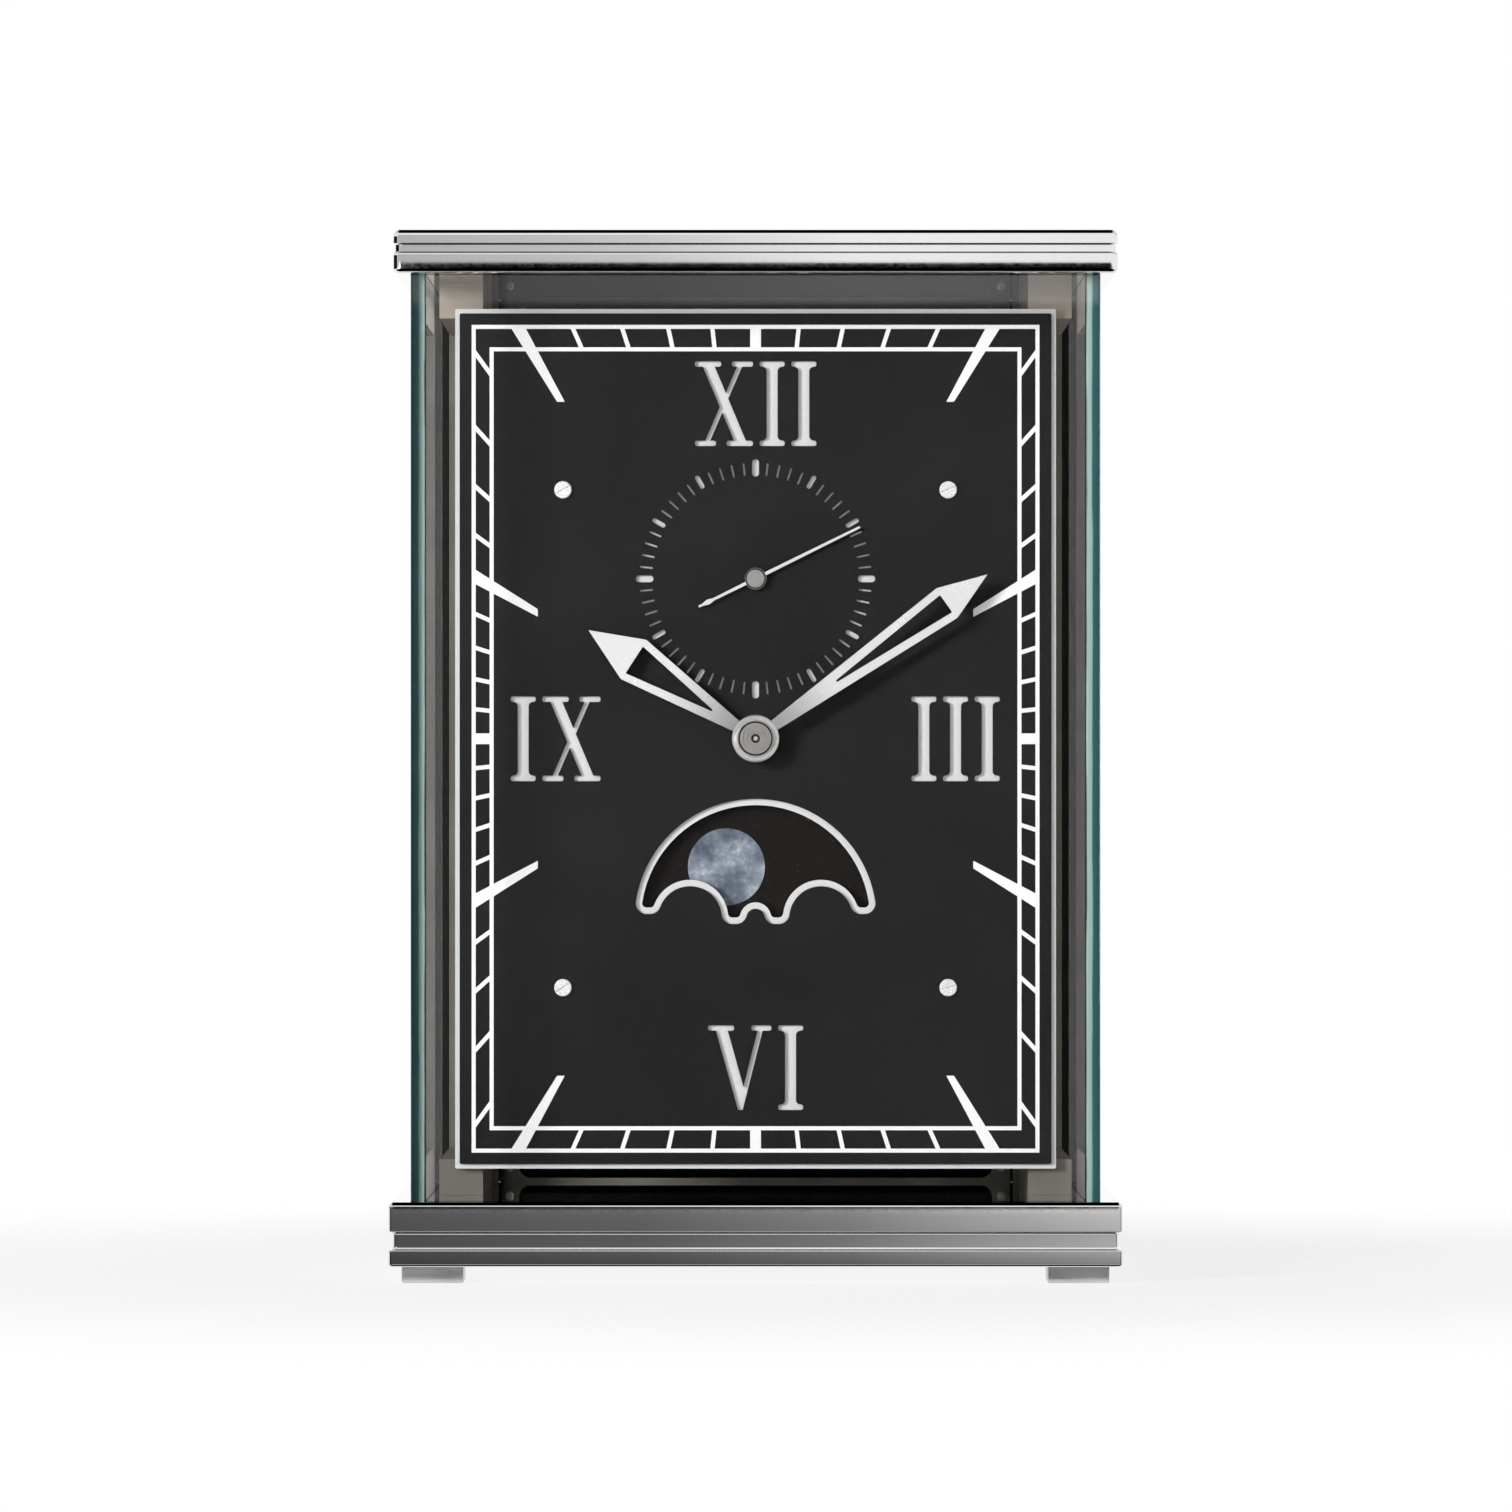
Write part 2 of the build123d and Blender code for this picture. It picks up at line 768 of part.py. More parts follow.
def door_frame():
    """The door's frame, with a half-round hinge stile and a seat for its pane."""
    height = door_top - door_bottom
    width = 2 * door_half_width
    opening_width = width - 2 * door_stile
    opening_height = height - 2 * door_stile
    solid = slab(Rectangle(width, height), door_front, door_rear)
    hinge_edges = solid.edges().filter_by(Axis.Z).sort_by(Axis.X)[:2]
    solid = fillet(hinge_edges, door_thickness / 2 - seat_clearance)
    opening = RectangleRounded(opening_width, opening_height, door_opening_round)
    solid -= slab(opening, door_front - overrun, door_rear + overrun)
    seat = door_pane_lap + door_pane_gap
    rebate = Rectangle(opening_width + 2 * seat, opening_height + 2 * seat)
    solid -= slab(rebate, door_rear - door_pane_thickness - door_pane_gap, door_rear + overrun)
    pin_hole = Cylinder(door_pin_radius + seat_clearance, 2 * door_pin_grip)
    solid -= [hinge_pin_place(z) * pin_hole for z in (door_bottom, door_top)]
    knob_at = (door_stile_x, 0)
    solid -= disc(door_knob_spigot_radius + seat_clearance, door_front - overrun, door_rear + overrun,
                  knob_at)
    screw_hole = door_screw_radius + seat_clearance
    solid -= [disc(screw_hole, door_front - overrun, door_front + door_screw_length, at)
              for at in door_screw_places()]
    return solid


def door_screw_places():
    """The small screws at the door frame's corners."""
    rise = cap_bottom - hands_z - door_stile + door_screw_head_radius
    return [(side * door_stile_x, end * rise) for end in (1, -1) for side in (-1, 1)]


def door_screws():
    """Four small screws on the inner face of the door frame."""
    one = screw(door_screw_head_radius, door_screw_head_height, door_screw_radius,
                door_screw_length - door_pane_gap)
    return group(facing(door_front, at).location * one for at in door_screw_places())


def door_glass():
    """The dark pane in the door."""
    width = 2 * (door_half_width - door_stile + door_pane_lap)
    height = door_top - door_bottom - 2 * (door_stile - door_pane_lap)
    front = door_rear - door_pane_thickness - door_pane_gap
    return slab(Rectangle(width, height), front, front + door_pane_thickness)


def door_hinge_pins():
    """The two pins that the door turns on, one at its top and one at its foot."""
    one = Cylinder(door_pin_radius, door_pin_length - seat_clearance)
    shift = door_pin_length / 2 - door_pin_grip
    return group(hinge_pin_place(z + way * shift) * one
                 for z, way in ((door_bottom, -1), (door_top, 1)))


def door_knob():
    """The turned pull knob, with a spigot through the stile."""
    knob_at = (door_stile_x, 0)
    head_front = door_rear + door_knob_neck
    head = disc(door_knob_radius, head_front, head_front + door_knob_head, knob_at)
    head = fillet(head.edges().filter_by(GeomType.CIRCLE).sort_by(Axis.Y)[-1], door_knob_round)
    neck = disc(door_knob_neck_radius, door_rear, head_front, knob_at)
    return head + neck + disc(door_knob_spigot_radius, door_front, door_rear, knob_at)


def door_catch():
    """The magnet in the cap that holds the door shut."""
    rear = door_front - door_catch_gap
    return disc(door_catch_radius, rear - door_catch_length + seat_clearance, rear, catch_place())


# Dial


def numeral_stroke(top_x, bottom_x, width):
    """A slanted stroke of a numeral, from its foot to its top."""
    half = numeral_height / 2
    points = [(top_x - width / 2, half), (top_x + width / 2, half),
              (bottom_x + width / 2, -half), (bottom_x - width / 2, -half)]
    return make_face(Polyline(*points, close=True))


def serif(start_x, width, end):
    """A serif at the top (end 1) or the foot (end -1) of a stroke."""
    middle = (start_x + width / 2, end * (numeral_height - serif_thickness) / 2)
    return Pos(*middle) * RectangleRounded(width, serif_thickness, serif_round)


def glyph_stem():
    """The numeral I, with bracketed serifs."""
    middle = stem_serif_width / 2
    outline = numeral_stroke(middle, middle, stem_width)
    outline += serif(0, stem_serif_width, 1)
    outline += serif(0, stem_serif_width, -1)
    inner = [v for v in outline.vertices() if abs(v.X - middle) < stem_width * 3 / 4
             and abs(v.Y) < numeral_height / 2 - serif_thickness / 2]
    return fillet(inner, stem_bracket)


def glyph_cross():
    """The numeral X."""
    outline = numeral_stroke(cross_thick_top, cross_thick_bottom, thick_stroke)
    outline += numeral_stroke(cross_thin_top, cross_thin_bottom, thin_stroke)
    outline += serif(0, cross_wide_serif, 1)
    outline += serif(cross_width - cross_narrow_serif, cross_narrow_serif, 1)
    outline += serif(0, cross_narrow_serif, -1)
    outline += serif(cross_width - cross_wide_serif, cross_wide_serif, -1)
    return outline


def glyph_vee():
    """The numeral V, its strokes cut to one narrow tip."""
    half = numeral_height / 2
    left = vee_thick_top - thick_stroke / 2
    right = vee_thin_top + thin_stroke / 2
    outline = numeral_stroke(vee_thick_top, vee_tip + (thick_stroke - vee_tip_width) / 2, thick_stroke)
    outline += numeral_stroke(vee_thin_top, vee_tip - (thin_stroke - vee_tip_width) / 2, thin_stroke)
    limit = Polyline((left, half), (right, half), (vee_tip + vee_tip_width / 2, -half),
                     (vee_tip - vee_tip_width / 2, -half), close=True)
    outline = outline & make_face(limit)
    outline += serif(0, vee_wide_serif, 1)
    outline += serif(vee_width - vee_narrow_serif, vee_narrow_serif, 1)
    return outline


glyph_widths = {"I": stem_serif_width, "V": vee_width, "X": cross_width}
glyph_makers = {"I": glyph_stem, "V": glyph_vee, "X": glyph_cross}


def numeral(letters, middle_x, middle_z):
    """A row of numeral letters, centred on a place."""
    length = sum(glyph_widths[letter] for letter in letters) + glyph_gap * (len(letters) - 1)
    start = middle_x - length / 2
    glyphs = []
    for letter in letters:
        glyphs += (Pos(start, middle_z) * glyph_makers[letter]()).faces()
        start += glyph_widths[letter] + glyph_gap
    return glyphs


def numerals():
    """The four numerals of the dial."""
    glyphs = numeral("XII", 0, top_numeral_z)
    glyphs += numeral("VI", 0, bottom_numeral_z)
    glyphs += numeral("III", side_numeral_x, 0)
    glyphs += numeral("IX", -side_numeral_x, 0)
    return glyphs


def seconds_slots():
    """Sixty slots round the seconds arbor, wider at the fives and the quarters."""
    slots = []
    for second in range(60):
        inner, outer, width = fine_slot_inner, fine_slot_outer, fine_slot_width
        if second % 5 == 0:
            inner, outer, width = five_slot_inner, five_slot_outer, five_slot_width
        if second % 15 == 0:
            inner, outer, width = quarter_slot_inner, quarter_slot_outer, quarter_slot_width
        turn = Pos(*seconds_at) * Rot(0, 0, 6 * second)
        slots.append(turn * Pos((inner + outer) / 2, 0) * SlotOverall(outer - inner, width))
    return slots


def sky_window():
    """The moon window in the rear dial plate, with two tall humps and a small one."""
    window = Circle(sky_radius)
    window -= Pos(0, inner_lobe_z - sky_radius) * Rectangle(2 * hump_x, 2 * sky_radius)
    side_x = hump_x + sky_radius / 2
    for side in (-1, 1):
        window -= Pos(side * side_x, outer_lobe_z - sky_radius) * Rectangle(sky_radius, 2 * sky_radius)
        window -= Pos(side * hump_x, hump_z) * Circle(hump_radius)
    window -= Pos(0, hump_z) * Circle(middle_hump_radius)
    corners = [v for v in window.vertices() if v.Y < outer_lobe_z + lobe_round / 2]
    return Pos(*moon_at) * fillet(corners, lobe_round)


def dial_plate():
    """The black dial, with its numerals, seconds ring and moon window cut right through."""
    face = RectangleRounded(dial_width, dial_height, dial_corner_round)
    face -= numerals()
    face -= seconds_slots()
    face -= offset(sky_window(), sky_rim)
    face -= Circle(hands_hole_radius)
    face -= Pos(*seconds_at) * Circle(seconds_hole_radius)
    face -= [Pos(*at) * Circle(dial_screw_radius + seat_clearance) for at in corner_places]
    return slab(face, dial_front, back_dial_front)


def dial_back_plate():
    """The silver plate behind the dial, which shows through its cuts."""
    face = RectangleRounded(back_dial_width, back_dial_height, dial_corner_round)
    face -= sky_window()
    face -= Circle(hands_hole_radius)
    face -= Pos(*seconds_at) * Circle(seconds_hole_radius)
    face -= [Pos(*at) * Circle(dial_screw_radius + seat_clearance) for at in corner_places]
    solid = slab(face, back_dial_front, dial_rear)
    hole = upright_screw_radius + seat_clearance
    return solid - [disc(hole, dial_rear - upright_screw_bite - seat_clearance, dial_rear + overrun, at)
                    for at in upright_screw_places()]


def track_ring(width, height):
    """One printed line of the minute track."""
    return Rectangle(width, height) - Rectangle(width - 2 * track_line, height - 2 * track_line)


def hour_bar(angle, inner_radius, outer_radius):
    """A tapered hour mark that points at the hands' centre, longer than the track is wide."""
    slope = (hour_bar_outer_width - hour_bar_inner_width) / (outer_radius - inner_radius)
    start = inner_radius - hour_bar_outer_width
    end = outer_radius + hour_bar_outer_width
    start_half = (hour_bar_inner_width - slope * hour_bar_outer_width) / 2
    end_half = (hour_bar_outer_width + slope * hour_bar_outer_width) / 2
    points = [(start, -start_half), (end, -end_half), (end, end_half), (start, start_half)]
    return Rot(0, 0, angle) * make_face(Polyline(*points, close=True))


def hour_bars():
    """The marks of the eight hours between the quarters, cut off level with the numerals."""
    lean = math.cos(math.radians(30))
    bars = []
    for angle in range(30, 360, 30):
        if angle % 180 in (30, 150):
            bars.append(hour_bar(angle, hour_bar_end_x / lean, track_outer_width / 2 / lean))
        elif angle % 90 != 0:
            bars.append(hour_bar(angle, hour_bar_end_z / lean, track_outer_height / 2 / lean))
    return bars


def minute_track():
    """The printed minute track with its ticks, quarter marks and hour marks."""
    outer = Rectangle(track_outer_width, track_outer_height)
    reach = track_outer_height
    rays = [Rot(0, 0, 6 * minute) * Rectangle(2 * reach, minute_tick_width) for minute in range(30)]
    rays += [Rot(0, 0, turn) * Rectangle(2 * reach, quarter_mark_width) for turn in (0, 90)]
    inside = Rectangle(track_inner_width - track_line, track_inner_height - track_line)
    ticks = (outer - inside) & (rays[0] + rays[1:])
    bars = (outer - Rectangle(2 * hour_bar_end_x, 2 * hour_bar_end_z)) & (Sketch() + hour_bars())
    track = track_ring(track_outer_width, track_outer_height)
    track += track_ring(track_inner_width, track_inner_height)
    track += ticks.faces()
    track += bars.faces()
    return slab(track, dial_front - print_thickness, dial_front)


def dial_screws():
    """The four screws that hold both dial plates to the pillars."""
    length = dial_front - dial_rear
    solids = []
    for at, turn in zip(corner_places, dial_screw_turns):
        one = screw(dial_screw_head_radius, dial_screw_head_height, dial_screw_radius,
                    dial_screw_bite - length, turn)
        solids.append(facing(dial_front, at).location * one)
    return group(solids)


def dial_pillars():
    """The four short pillars between the dial and the movement."""
    solids = []
    for at in corner_places:
        solid = disc(pillar_radius, dial_rear, front_plate_front, at)
        solid += disc(dial_pillar_stud_radius, front_plate_front, front_plate_front
                      + dial_pillar_stud_length, at)
        hole = disc(dial_screw_radius + seat_clearance, dial_rear - overrun,
                    dial_rear + dial_screw_bite + seat_clearance, at)
        solids.append(solid - hole)
    return group(solids)


# Movement frame


def plate_outline():
    """The outline that both movement plates share."""
    return RectangleRounded(plate_width, plate_height, plate_corner_round)


def front_plate():
    """The movement's front plate."""
    holes = [(centre_at, arbor_radius), (barrel_at, barrel_arbor_radius), (seconds_at, arbor_radius),
             (intermediate_at, pivot_radius), (minute_at, stud_press_radius),
             (transfer_at, stud_press_radius), (moon_at, stud_press_radius)]
    face = plate_outline()
    face -= [Pos(*at) * Circle(radius + running_clearance) for at, radius in holes]
    face -= [Pos(*at) * Circle(jewel_radius + seat_clearance) for at in (third_at, escape_at)]
    face -= [Pos(*at) * Circle(dial_pillar_stud_radius + seat_clearance) for at in corner_places]
    return slab(face, front_plate_front, front_plate_rear)


def back_plate():
    """The movement's back plate."""
    holes = [(centre_at, arbor_radius), (barrel_at, barrel_arbor_radius),
             (intermediate_at, pivot_radius), (escape_at, 2 * arbor_radius)]
    face = plate_outline()
    face -= [Pos(*at) * Circle(radius + running_clearance) for at, radius in holes]
    jewels = (third_at, seconds_at, fork_at, balance_at)
    face -= [Pos(*at) * Circle(jewel_radius + seat_clearance) for at in jewels]
    face -= [Pos(*at) * Circle(pillar_screw_radius + seat_clearance) for at in corner_places]
    face -= [Pos(*at) * Circle(bridge_screw_radius + seat_clearance) for at in bridge_screw_places()]
    face -= Pos(*click_at) * Circle(click_screw_radius + seat_clearance)
    return slab(face, back_plate_front, back_plate_rear)


def plate_pillars():
    """The four pillars between the movement plates."""
    solids = []
    for at in corner_places:
        solid = disc(frame_pillar_radius, front_plate_rear, back_plate_front, at)
        front_bore = disc(dial_pillar_stud_radius + seat_clearance, front_plate_rear - overrun,
                          front_plate_rear + frame_pillar_bore_depth, at)
        rear_bore = disc(pillar_screw_radius + seat_clearance,
                         back_plate_front - frame_pillar_bore_depth, back_plate_front + overrun, at)
        solids.append(solid - front_bore - rear_bore)
    return group(solids)


def pillar_screws():
    """The screws that hold the back plate to the pillars."""
    one = screw(pillar_screw_head_radius, pillar_screw_head_height, pillar_screw_radius,
                pillar_screw_length)
    return group(backing(back_plate_rear, at).location * one for at in corner_places)


def jewels():
    """The pivot jewels in both plates, the bridge and the cock."""
    bridge_front = back_plate_rear + bridge_lift
    cock_front = back_plate_rear + cock_lift
    seats = [(third_at, front_plate_front, front_plate_rear),
             (escape_at, front_plate_front, front_plate_rear),
             (third_at, back_plate_front, back_plate_rear),
             (seconds_at, back_plate_front, back_plate_rear),
             (fork_at, back_plate_front, back_plate_rear),
             (balance_at, back_plate_front, back_plate_rear),
             (escape_at, bridge_front, bridge_front + bridge_thickness),
             (fork_at, bridge_front, bridge_front + bridge_thickness),
             (balance_at, cock_front, cock_front + cock_thickness)]
    solids = []
    for at, front, rear in seats:
        ring = Circle(jewel_radius) - Circle(pivot_radius + running_clearance)
        solids.append(slab(Pos(*at) * ring, front, rear))
    return group(solids)


# Gears and arbors


def flank_angle(module, teeth, radius):
    """Half a tooth's width at a radius, as an angle in radians."""
    pressure = math.radians(20)
    pitch_radius = module * teeth / 2
    base_radius = pitch_radius * math.cos(pressure)
    at_pitch = math.pi / teeth / 2 * tooth_thickness_share + math.tan(pressure) - pressure
    if radius <= base_radius:
        return at_pitch
    roll = math.acos(base_radius / radius)
    return at_pitch - math.tan(roll) + roll


def gear(module, teeth, towards, tooth=True):
    """A gear's outline, with a tooth (or a gap) that points in a direction."""
    pitch_radius = module * teeth / 2
    radii = (pitch_radius - dedendum_share * module, pitch_radius, pitch_radius + addendum_share * module)
    halves = [flank_angle(module, teeth, radius) for radius in radii]
    profile = list(zip(radii, [-half for half in halves]))
    profile += list(zip(reversed(radii), reversed(halves)))
    start = math.radians(towards) + (0 if tooth else math.pi / teeth)
    points = []
    for number in range(teeth):
        middle = start + 2 * math.pi * number / teeth
        points += [(r * math.cos(middle + a), r * math.sin(middle + a)) for r, a in profile]
    return make_face(Polyline(*points, close=True))


def saw_wheel(teeth, tip_radius, depth):
    """A ratchet's or escape wheel's outline, its teeth leaning one way."""
    step = 2 * math.pi / teeth
    points = []
    for number in range(teeth):
        start = step * number
        stops = ((tip_radius - depth, 0), (tip_radius, 0), (tip_radius, step * saw_tip_share))
        points += [(r * math.cos(start + a), r * math.sin(start + a)) for r, a in stops]
    return make_face(Polyline(*points, close=True))


def spoke_windows(hub_radius, rim_radius):
    """The openings between a wheel's spokes."""
    ring = Circle(rim_radius) - Circle(hub_radius)
    spoke = Pos(rim_radius / 2, 0) * Rectangle(rim_radius, wheel_spoke_width)
    ring -= [Rot(0, 0, 360 * number / wheel_spokes) * spoke for number in range(wheel_spokes)]
    return ring.faces()


def spoked_gear(module, teeth, towards, tooth=True):
    """A large wheel: its toothed rim, spokes and hub."""
    rim_radius = module * teeth / 2 - wheel_rim
    return gear(module, teeth, towards, tooth) - spoke_windows(wheel_hub_radius, rim_radius)


def arbor(at, radius, front, rear):
    """A round arbor with a pivot through each plate."""
    solid = disc(radius, front_plate_rear + end_shake, back_plate_front - end_shake, at)
    solid += disc(pivot_radius, front, front_plate_rear + end_shake, at)
    return solid + disc(pivot_radius, back_plate_front - end_shake, rear, at)


def placed(sketch, at, lift, thickness):
    """A wheel or a pinion on its arbor, lifted off the front plate's rear face."""
    front = front_plate_rear + lift
    return slab(Pos(*at) * sketch, front, front + thickness)


def intermediate_wheel():
    """The arbor between barrel and centre, with its wheel and pinion."""
    solid = arbor(intermediate_at, arbor_radius, front_plate_front, back_plate_rear)
    towards = heading(intermediate_at, centre_at)
    wheel = spoked_gear(intermediate_module, intermediate_wheel_teeth, towards)
    pinion = gear(barrel_module, intermediate_pinion_teeth, barrel_direction, False)
    solid += placed(wheel, intermediate_at, intermediate_wheel_lift, wheel_thickness)
    pinion_front = barrel_gear_front() - (pinion_length - barrel_flange) / 2
    return solid + slab(Pos(*intermediate_at) * pinion, pinion_front, pinion_front + pinion_length)


def third_wheel():
    """The third arbor, with its wheel and pinion."""
    solid = arbor(third_at, arbor_radius, front_plate_front, back_plate_rear)
    wheel = spoked_gear(third_module, third_wheel_teeth, heading(third_at, seconds_at))
    pinion = gear(centre_module, third_pinion_teeth, heading(third_at, centre_at), False)
    solid += placed(wheel, third_at, third_wheel_lift, wheel_thickness)
    return solid + placed(pinion, third_at, third_pinion_lift, pinion_length)


def seconds_wheel():
    """The seconds arbor, which reaches through the dial, with its wheel and pinion."""
    solid = disc(arbor_radius, front_plate_front, back_plate_front - end_shake, seconds_at)
    solid += disc(pivot_radius, back_plate_front - end_shake, back_plate_rear, seconds_at)
    solid += disc(seconds_arbor_front_radius, seconds_hub_front(), front_plate_front, seconds_at)
    wheel = spoked_gear(escape_module, seconds_wheel_teeth, escape_direction)
    pinion = gear(third_module, seconds_pinion_teeth, heading(seconds_at, third_at), False)
    solid += placed(wheel, seconds_at, seconds_wheel_lift, wheel_thickness)
    return solid + placed(pinion, seconds_at, seconds_pinion_lift, pinion_length)


def centre_arbor():
    """The centre arbor with its pinion, which carries the hands and the setting knob."""
    rear = back_plate_rear + setting_knob_gap + setting_knob_length
    solid = disc(arbor_radius, front_plate_front, rear, centre_at)
    solid += disc(centre_arbor_front_radius, nut_front() + nut_ring_step, front_plate_front, centre_at)
    towards = heading(centre_at, intermediate_at)
    pinion = gear(intermediate_module, centre_pinion_teeth, towards, False)
    return solid + placed(pinion, centre_at, centre_pinion_lift, pinion_length)


def centre_wheel():
    """The centre wheel, riveted to the centre arbor."""
    wheel = spoked_gear(centre_module, centre_wheel_teeth, heading(centre_at, third_at))
    wheel -= Circle(arbor_radius + seat_clearance)
    return placed(wheel, centre_at, centre_wheel_lift, wheel_thickness)


def setting_knob():
    """The fluted knob on the centre arbor's rear end, which sets the hands."""
    front = back_plate_rear + setting_knob_gap
    face = Circle(setting_knob_radius) - Circle(arbor_radius + seat_clearance)
    step = 360 / setting_knob_flutes
    face -= [Rot(0, 0, step * number) * Pos(setting_knob_radius, 0) * Circle(setting_knob_flute_radius)
             for number in range(setting_knob_flutes)]
    return slab(face, front, front + setting_knob_length)


# Barrel and winding work


def spiral_radii(inner_radius, pitch, half_turns):
    """Radius, centre and start angle of each half turn of a spiral."""
    arcs = []
    for number in range(half_turns):
        centre = 0 if number % 2 == 0 else pitch / 2
        arcs.append((inner_radius + pitch * number / 2, centre, 180 * (number % 2)))
    return arcs


def spiral_strip(inner_radius, pitch, half_turns, thickness):
    """A spring's flat spiral, as one strip of half-turn arcs."""
    arcs = spiral_radii(inner_radius, pitch, half_turns)
    half = thickness / 2
    edges = []
    for radius, centre, start in arcs:
        edges.append(CenterArc((centre, 0), radius - half, start, 180))
        edges.append(CenterArc((centre, 0), radius + half, start, 180))
    last_radius, last_centre, last_start = arcs[-1]
    way = -1 if last_start == 0 else 1
    end = last_centre + way * last_radius
    edges.append(Line((inner_radius - half, 0), (inner_radius + half, 0)))
    edges.append(Line((end - half, 0), (end + half, 0)))
    return make_face(edges)


def spiral_gap(inner_radius, pitch, half_turns, thickness):
    """The least gap between a spiral strip's turns, measured on points of its middle line."""
    steps = 24
    points = []
    for radius, centre, start in spiral_radii(inner_radius, pitch, half_turns):
        for step in range(steps):
            turn = math.radians(start + 180 * step / steps)
            points.append((centre + radius * math.cos(turn), radius * math.sin(turn)))
    least = min(math.dist(points[i], points[j]) for i in range(len(points))
                for j in range(i + steps, len(points)))
    return least - thickness


def spiral_end_radius(inner_radius, pitch, half_turns):
    """How far out a spiral's last half turn reaches."""
    return inner_radius + pitch * half_turns / 2


def barrel_gear_front():
    """The front of the barrel's toothed flange."""
    return front_plate_rear + drum_lift + drum_length - barrel_flange


def barrel():
    """The spring barrel: a drum with a toothed flange, open at the rear."""
    front = front_plate_rear + drum_lift
    rear = front + drum_length
    solid = disc(drum_radius, front, rear, barrel_at)
    towards = barrel_direction + 180
    teeth = gear(barrel_module, barrel_teeth, towards)
    solid += slab(Pos(*barrel_at) * teeth, barrel_gear_front(), rear)
    solid -= disc(drum_radius - drum_wall, front + drum_wall, rear + overrun, barrel_at)
    return solid - disc(barrel_arbor_radius + running_clearance, front - overrun, rear, barrel_at)


def barrel_lid():
    """The lid that closes the barrel."""
    rear = front_plate_rear + drum_lift + drum_length
    face = Circle(drum_radius - drum_wall - seat_clearance)
    face -= Circle(barrel_arbor_radius + running_clearance)
    return slab(Pos(*barrel_at) * face, rear - barrel_lid_thickness, rear)


def mainspring():
    """The mainspring, a strip wound between the arbor's core and the drum."""
    front = front_plate_rear + drum_lift + drum_wall + mainspring_side_gap
    rear = front_plate_rear + drum_lift + drum_length - barrel_lid_thickness - mainspring_side_gap
    inner = barrel_core_radius + mainspring_thickness
    strip = spiral_strip(inner, mainspring_pitch, mainspring_half_turns, mainspring_thickness)
    return slab(Pos(*barrel_at) * strip, front, rear)


def barrel_arbor():
    """The winding arbor, with a core for the spring and a square for the key."""
    core_front = front_plate_rear + drum_lift + drum_wall + mainspring_side_gap
    core_rear = front_plate_rear + drum_lift + drum_length - barrel_lid_thickness - mainspring_side_gap
    solid = disc(barrel_arbor_radius, front_plate_front, back_plate_rear, barrel_at)
    solid += disc(barrel_core_radius, core_front, core_rear, barrel_at)
    square = Pos(*barrel_at) * Rectangle(winding_square, winding_square)
    return solid + slab(square, back_plate_rear, back_plate_rear + winding_square_length)


def ratchet_wheel():
    """The ratchet wheel on the winding square."""
    front = back_plate_rear + ratchet_gap
    side = winding_square + 2 * seat_clearance
    face = saw_wheel(ratchet_teeth, ratchet_tip_radius, ratchet_tooth_depth)
    return slab(Pos(*barrel_at) * (face - Rectangle(side, side)), front, front + ratchet_thickness)


def click():
    """The click, lifted just clear of the ratchet's teeth."""
    front = back_plate_rear + ratchet_gap
    tip_radius = ratchet_tip_radius + click_lift_gap
    tip = polar(barrel_at, tip_radius, click_direction - click_tip_turn)
    line = heading(click_at, tip)
    length = math.dist(click_at, tip)
    points = [(0, -click_hub_radius), (length, -click_tip_width / 2), (length, click_tip_width / 2),
              (0, click_hub_radius)]
    arm = Rot(0, 0, line) * make_face(Polyline(*points, close=True))
    face = arm + Circle(click_hub_radius) - Circle(click_screw_radius + running_clearance)
    return slab(Pos(*click_at) * face, front, front + ratchet_thickness)


def click_screw():
    """The shoulder screw that the click turns on, with a collar under the click."""
    seat = back_plate_rear + ratchet_gap + ratchet_thickness + running_clearance
    one = screw(click_screw_head_radius, click_screw_head_height, click_screw_radius,
                seat - back_plate_rear + click_screw_bite)
    collar = disc(click_screw_head_radius, back_plate_rear, back_plate_rear + ratchet_gap
                  - running_clearance, click_at)
    return backing(seat, click_at).location * one + collar


# Escapement and balance


def escape_wheel():
    """The escape arbor: its pinion between the plates and its wheel behind them."""
    bridge_front = back_plate_rear + bridge_lift
    solid = disc(arbor_radius, front_plate_rear + end_shake, bridge_front - end_shake, escape_at)
    solid += disc(pivot_radius, front_plate_front, front_plate_rear + end_shake, escape_at)
    solid += disc(pivot_radius, bridge_front - end_shake, bridge_front + bridge_thickness, escape_at)
    towards = escape_direction + 180
    pinion = gear(escape_module, escape_pinion_teeth, towards, False)
    solid += placed(pinion, escape_at, escape_pinion_lift, pinion_length)
    face = saw_wheel(escape_wheel_teeth, escape_tip_radius, escape_tooth_depth)
    rim = escape_tip_radius - escape_tooth_depth
    face -= spoke_windows(2 * arbor_radius, rim - escape_wheel_thickness)
    front = back_plate_rear + escape_wheel_gap
    return solid + slab(Pos(*escape_at) * face, front, front + escape_wheel_thickness)


def pallet_fork():
    """The pallet fork, its pallets just clear of the escape wheel."""
    reach = escape_tip_radius + fork_pallet_gap
    half = math.radians(fork_pallet_half_angle)
    arm_x = reach * math.cos(half) - fork_distance
    arm_y = reach * math.sin(half)
    tail_x = balance_distance - fork_tail_gap
    face = Circle(fork_hub_radius)
    face += bar((0, 0), (arm_x, arm_y), 2 * fork_pallet_radius)
    face += bar((0, 0), (arm_x, -arm_y), 2 * fork_pallet_radius)
    face += bar((0, 0), (tail_x, 0), fork_arm_width)
    face -= Pos(tail_x + fork_arm_width / 2, 0) * Rectangle(2 * fork_arm_width, fork_notch)
    face = Pos(*fork_at) * Rot(0, 0, escape_direction) * face
    front = back_plate_rear + escape_wheel_gap
    bridge_front = back_plate_rear + bridge_lift
    solid = slab(face, front, front + escape_wheel_thickness)
    solid += disc(pivot_radius, back_plate_front, bridge_front + bridge_thickness, fork_at)
    return solid


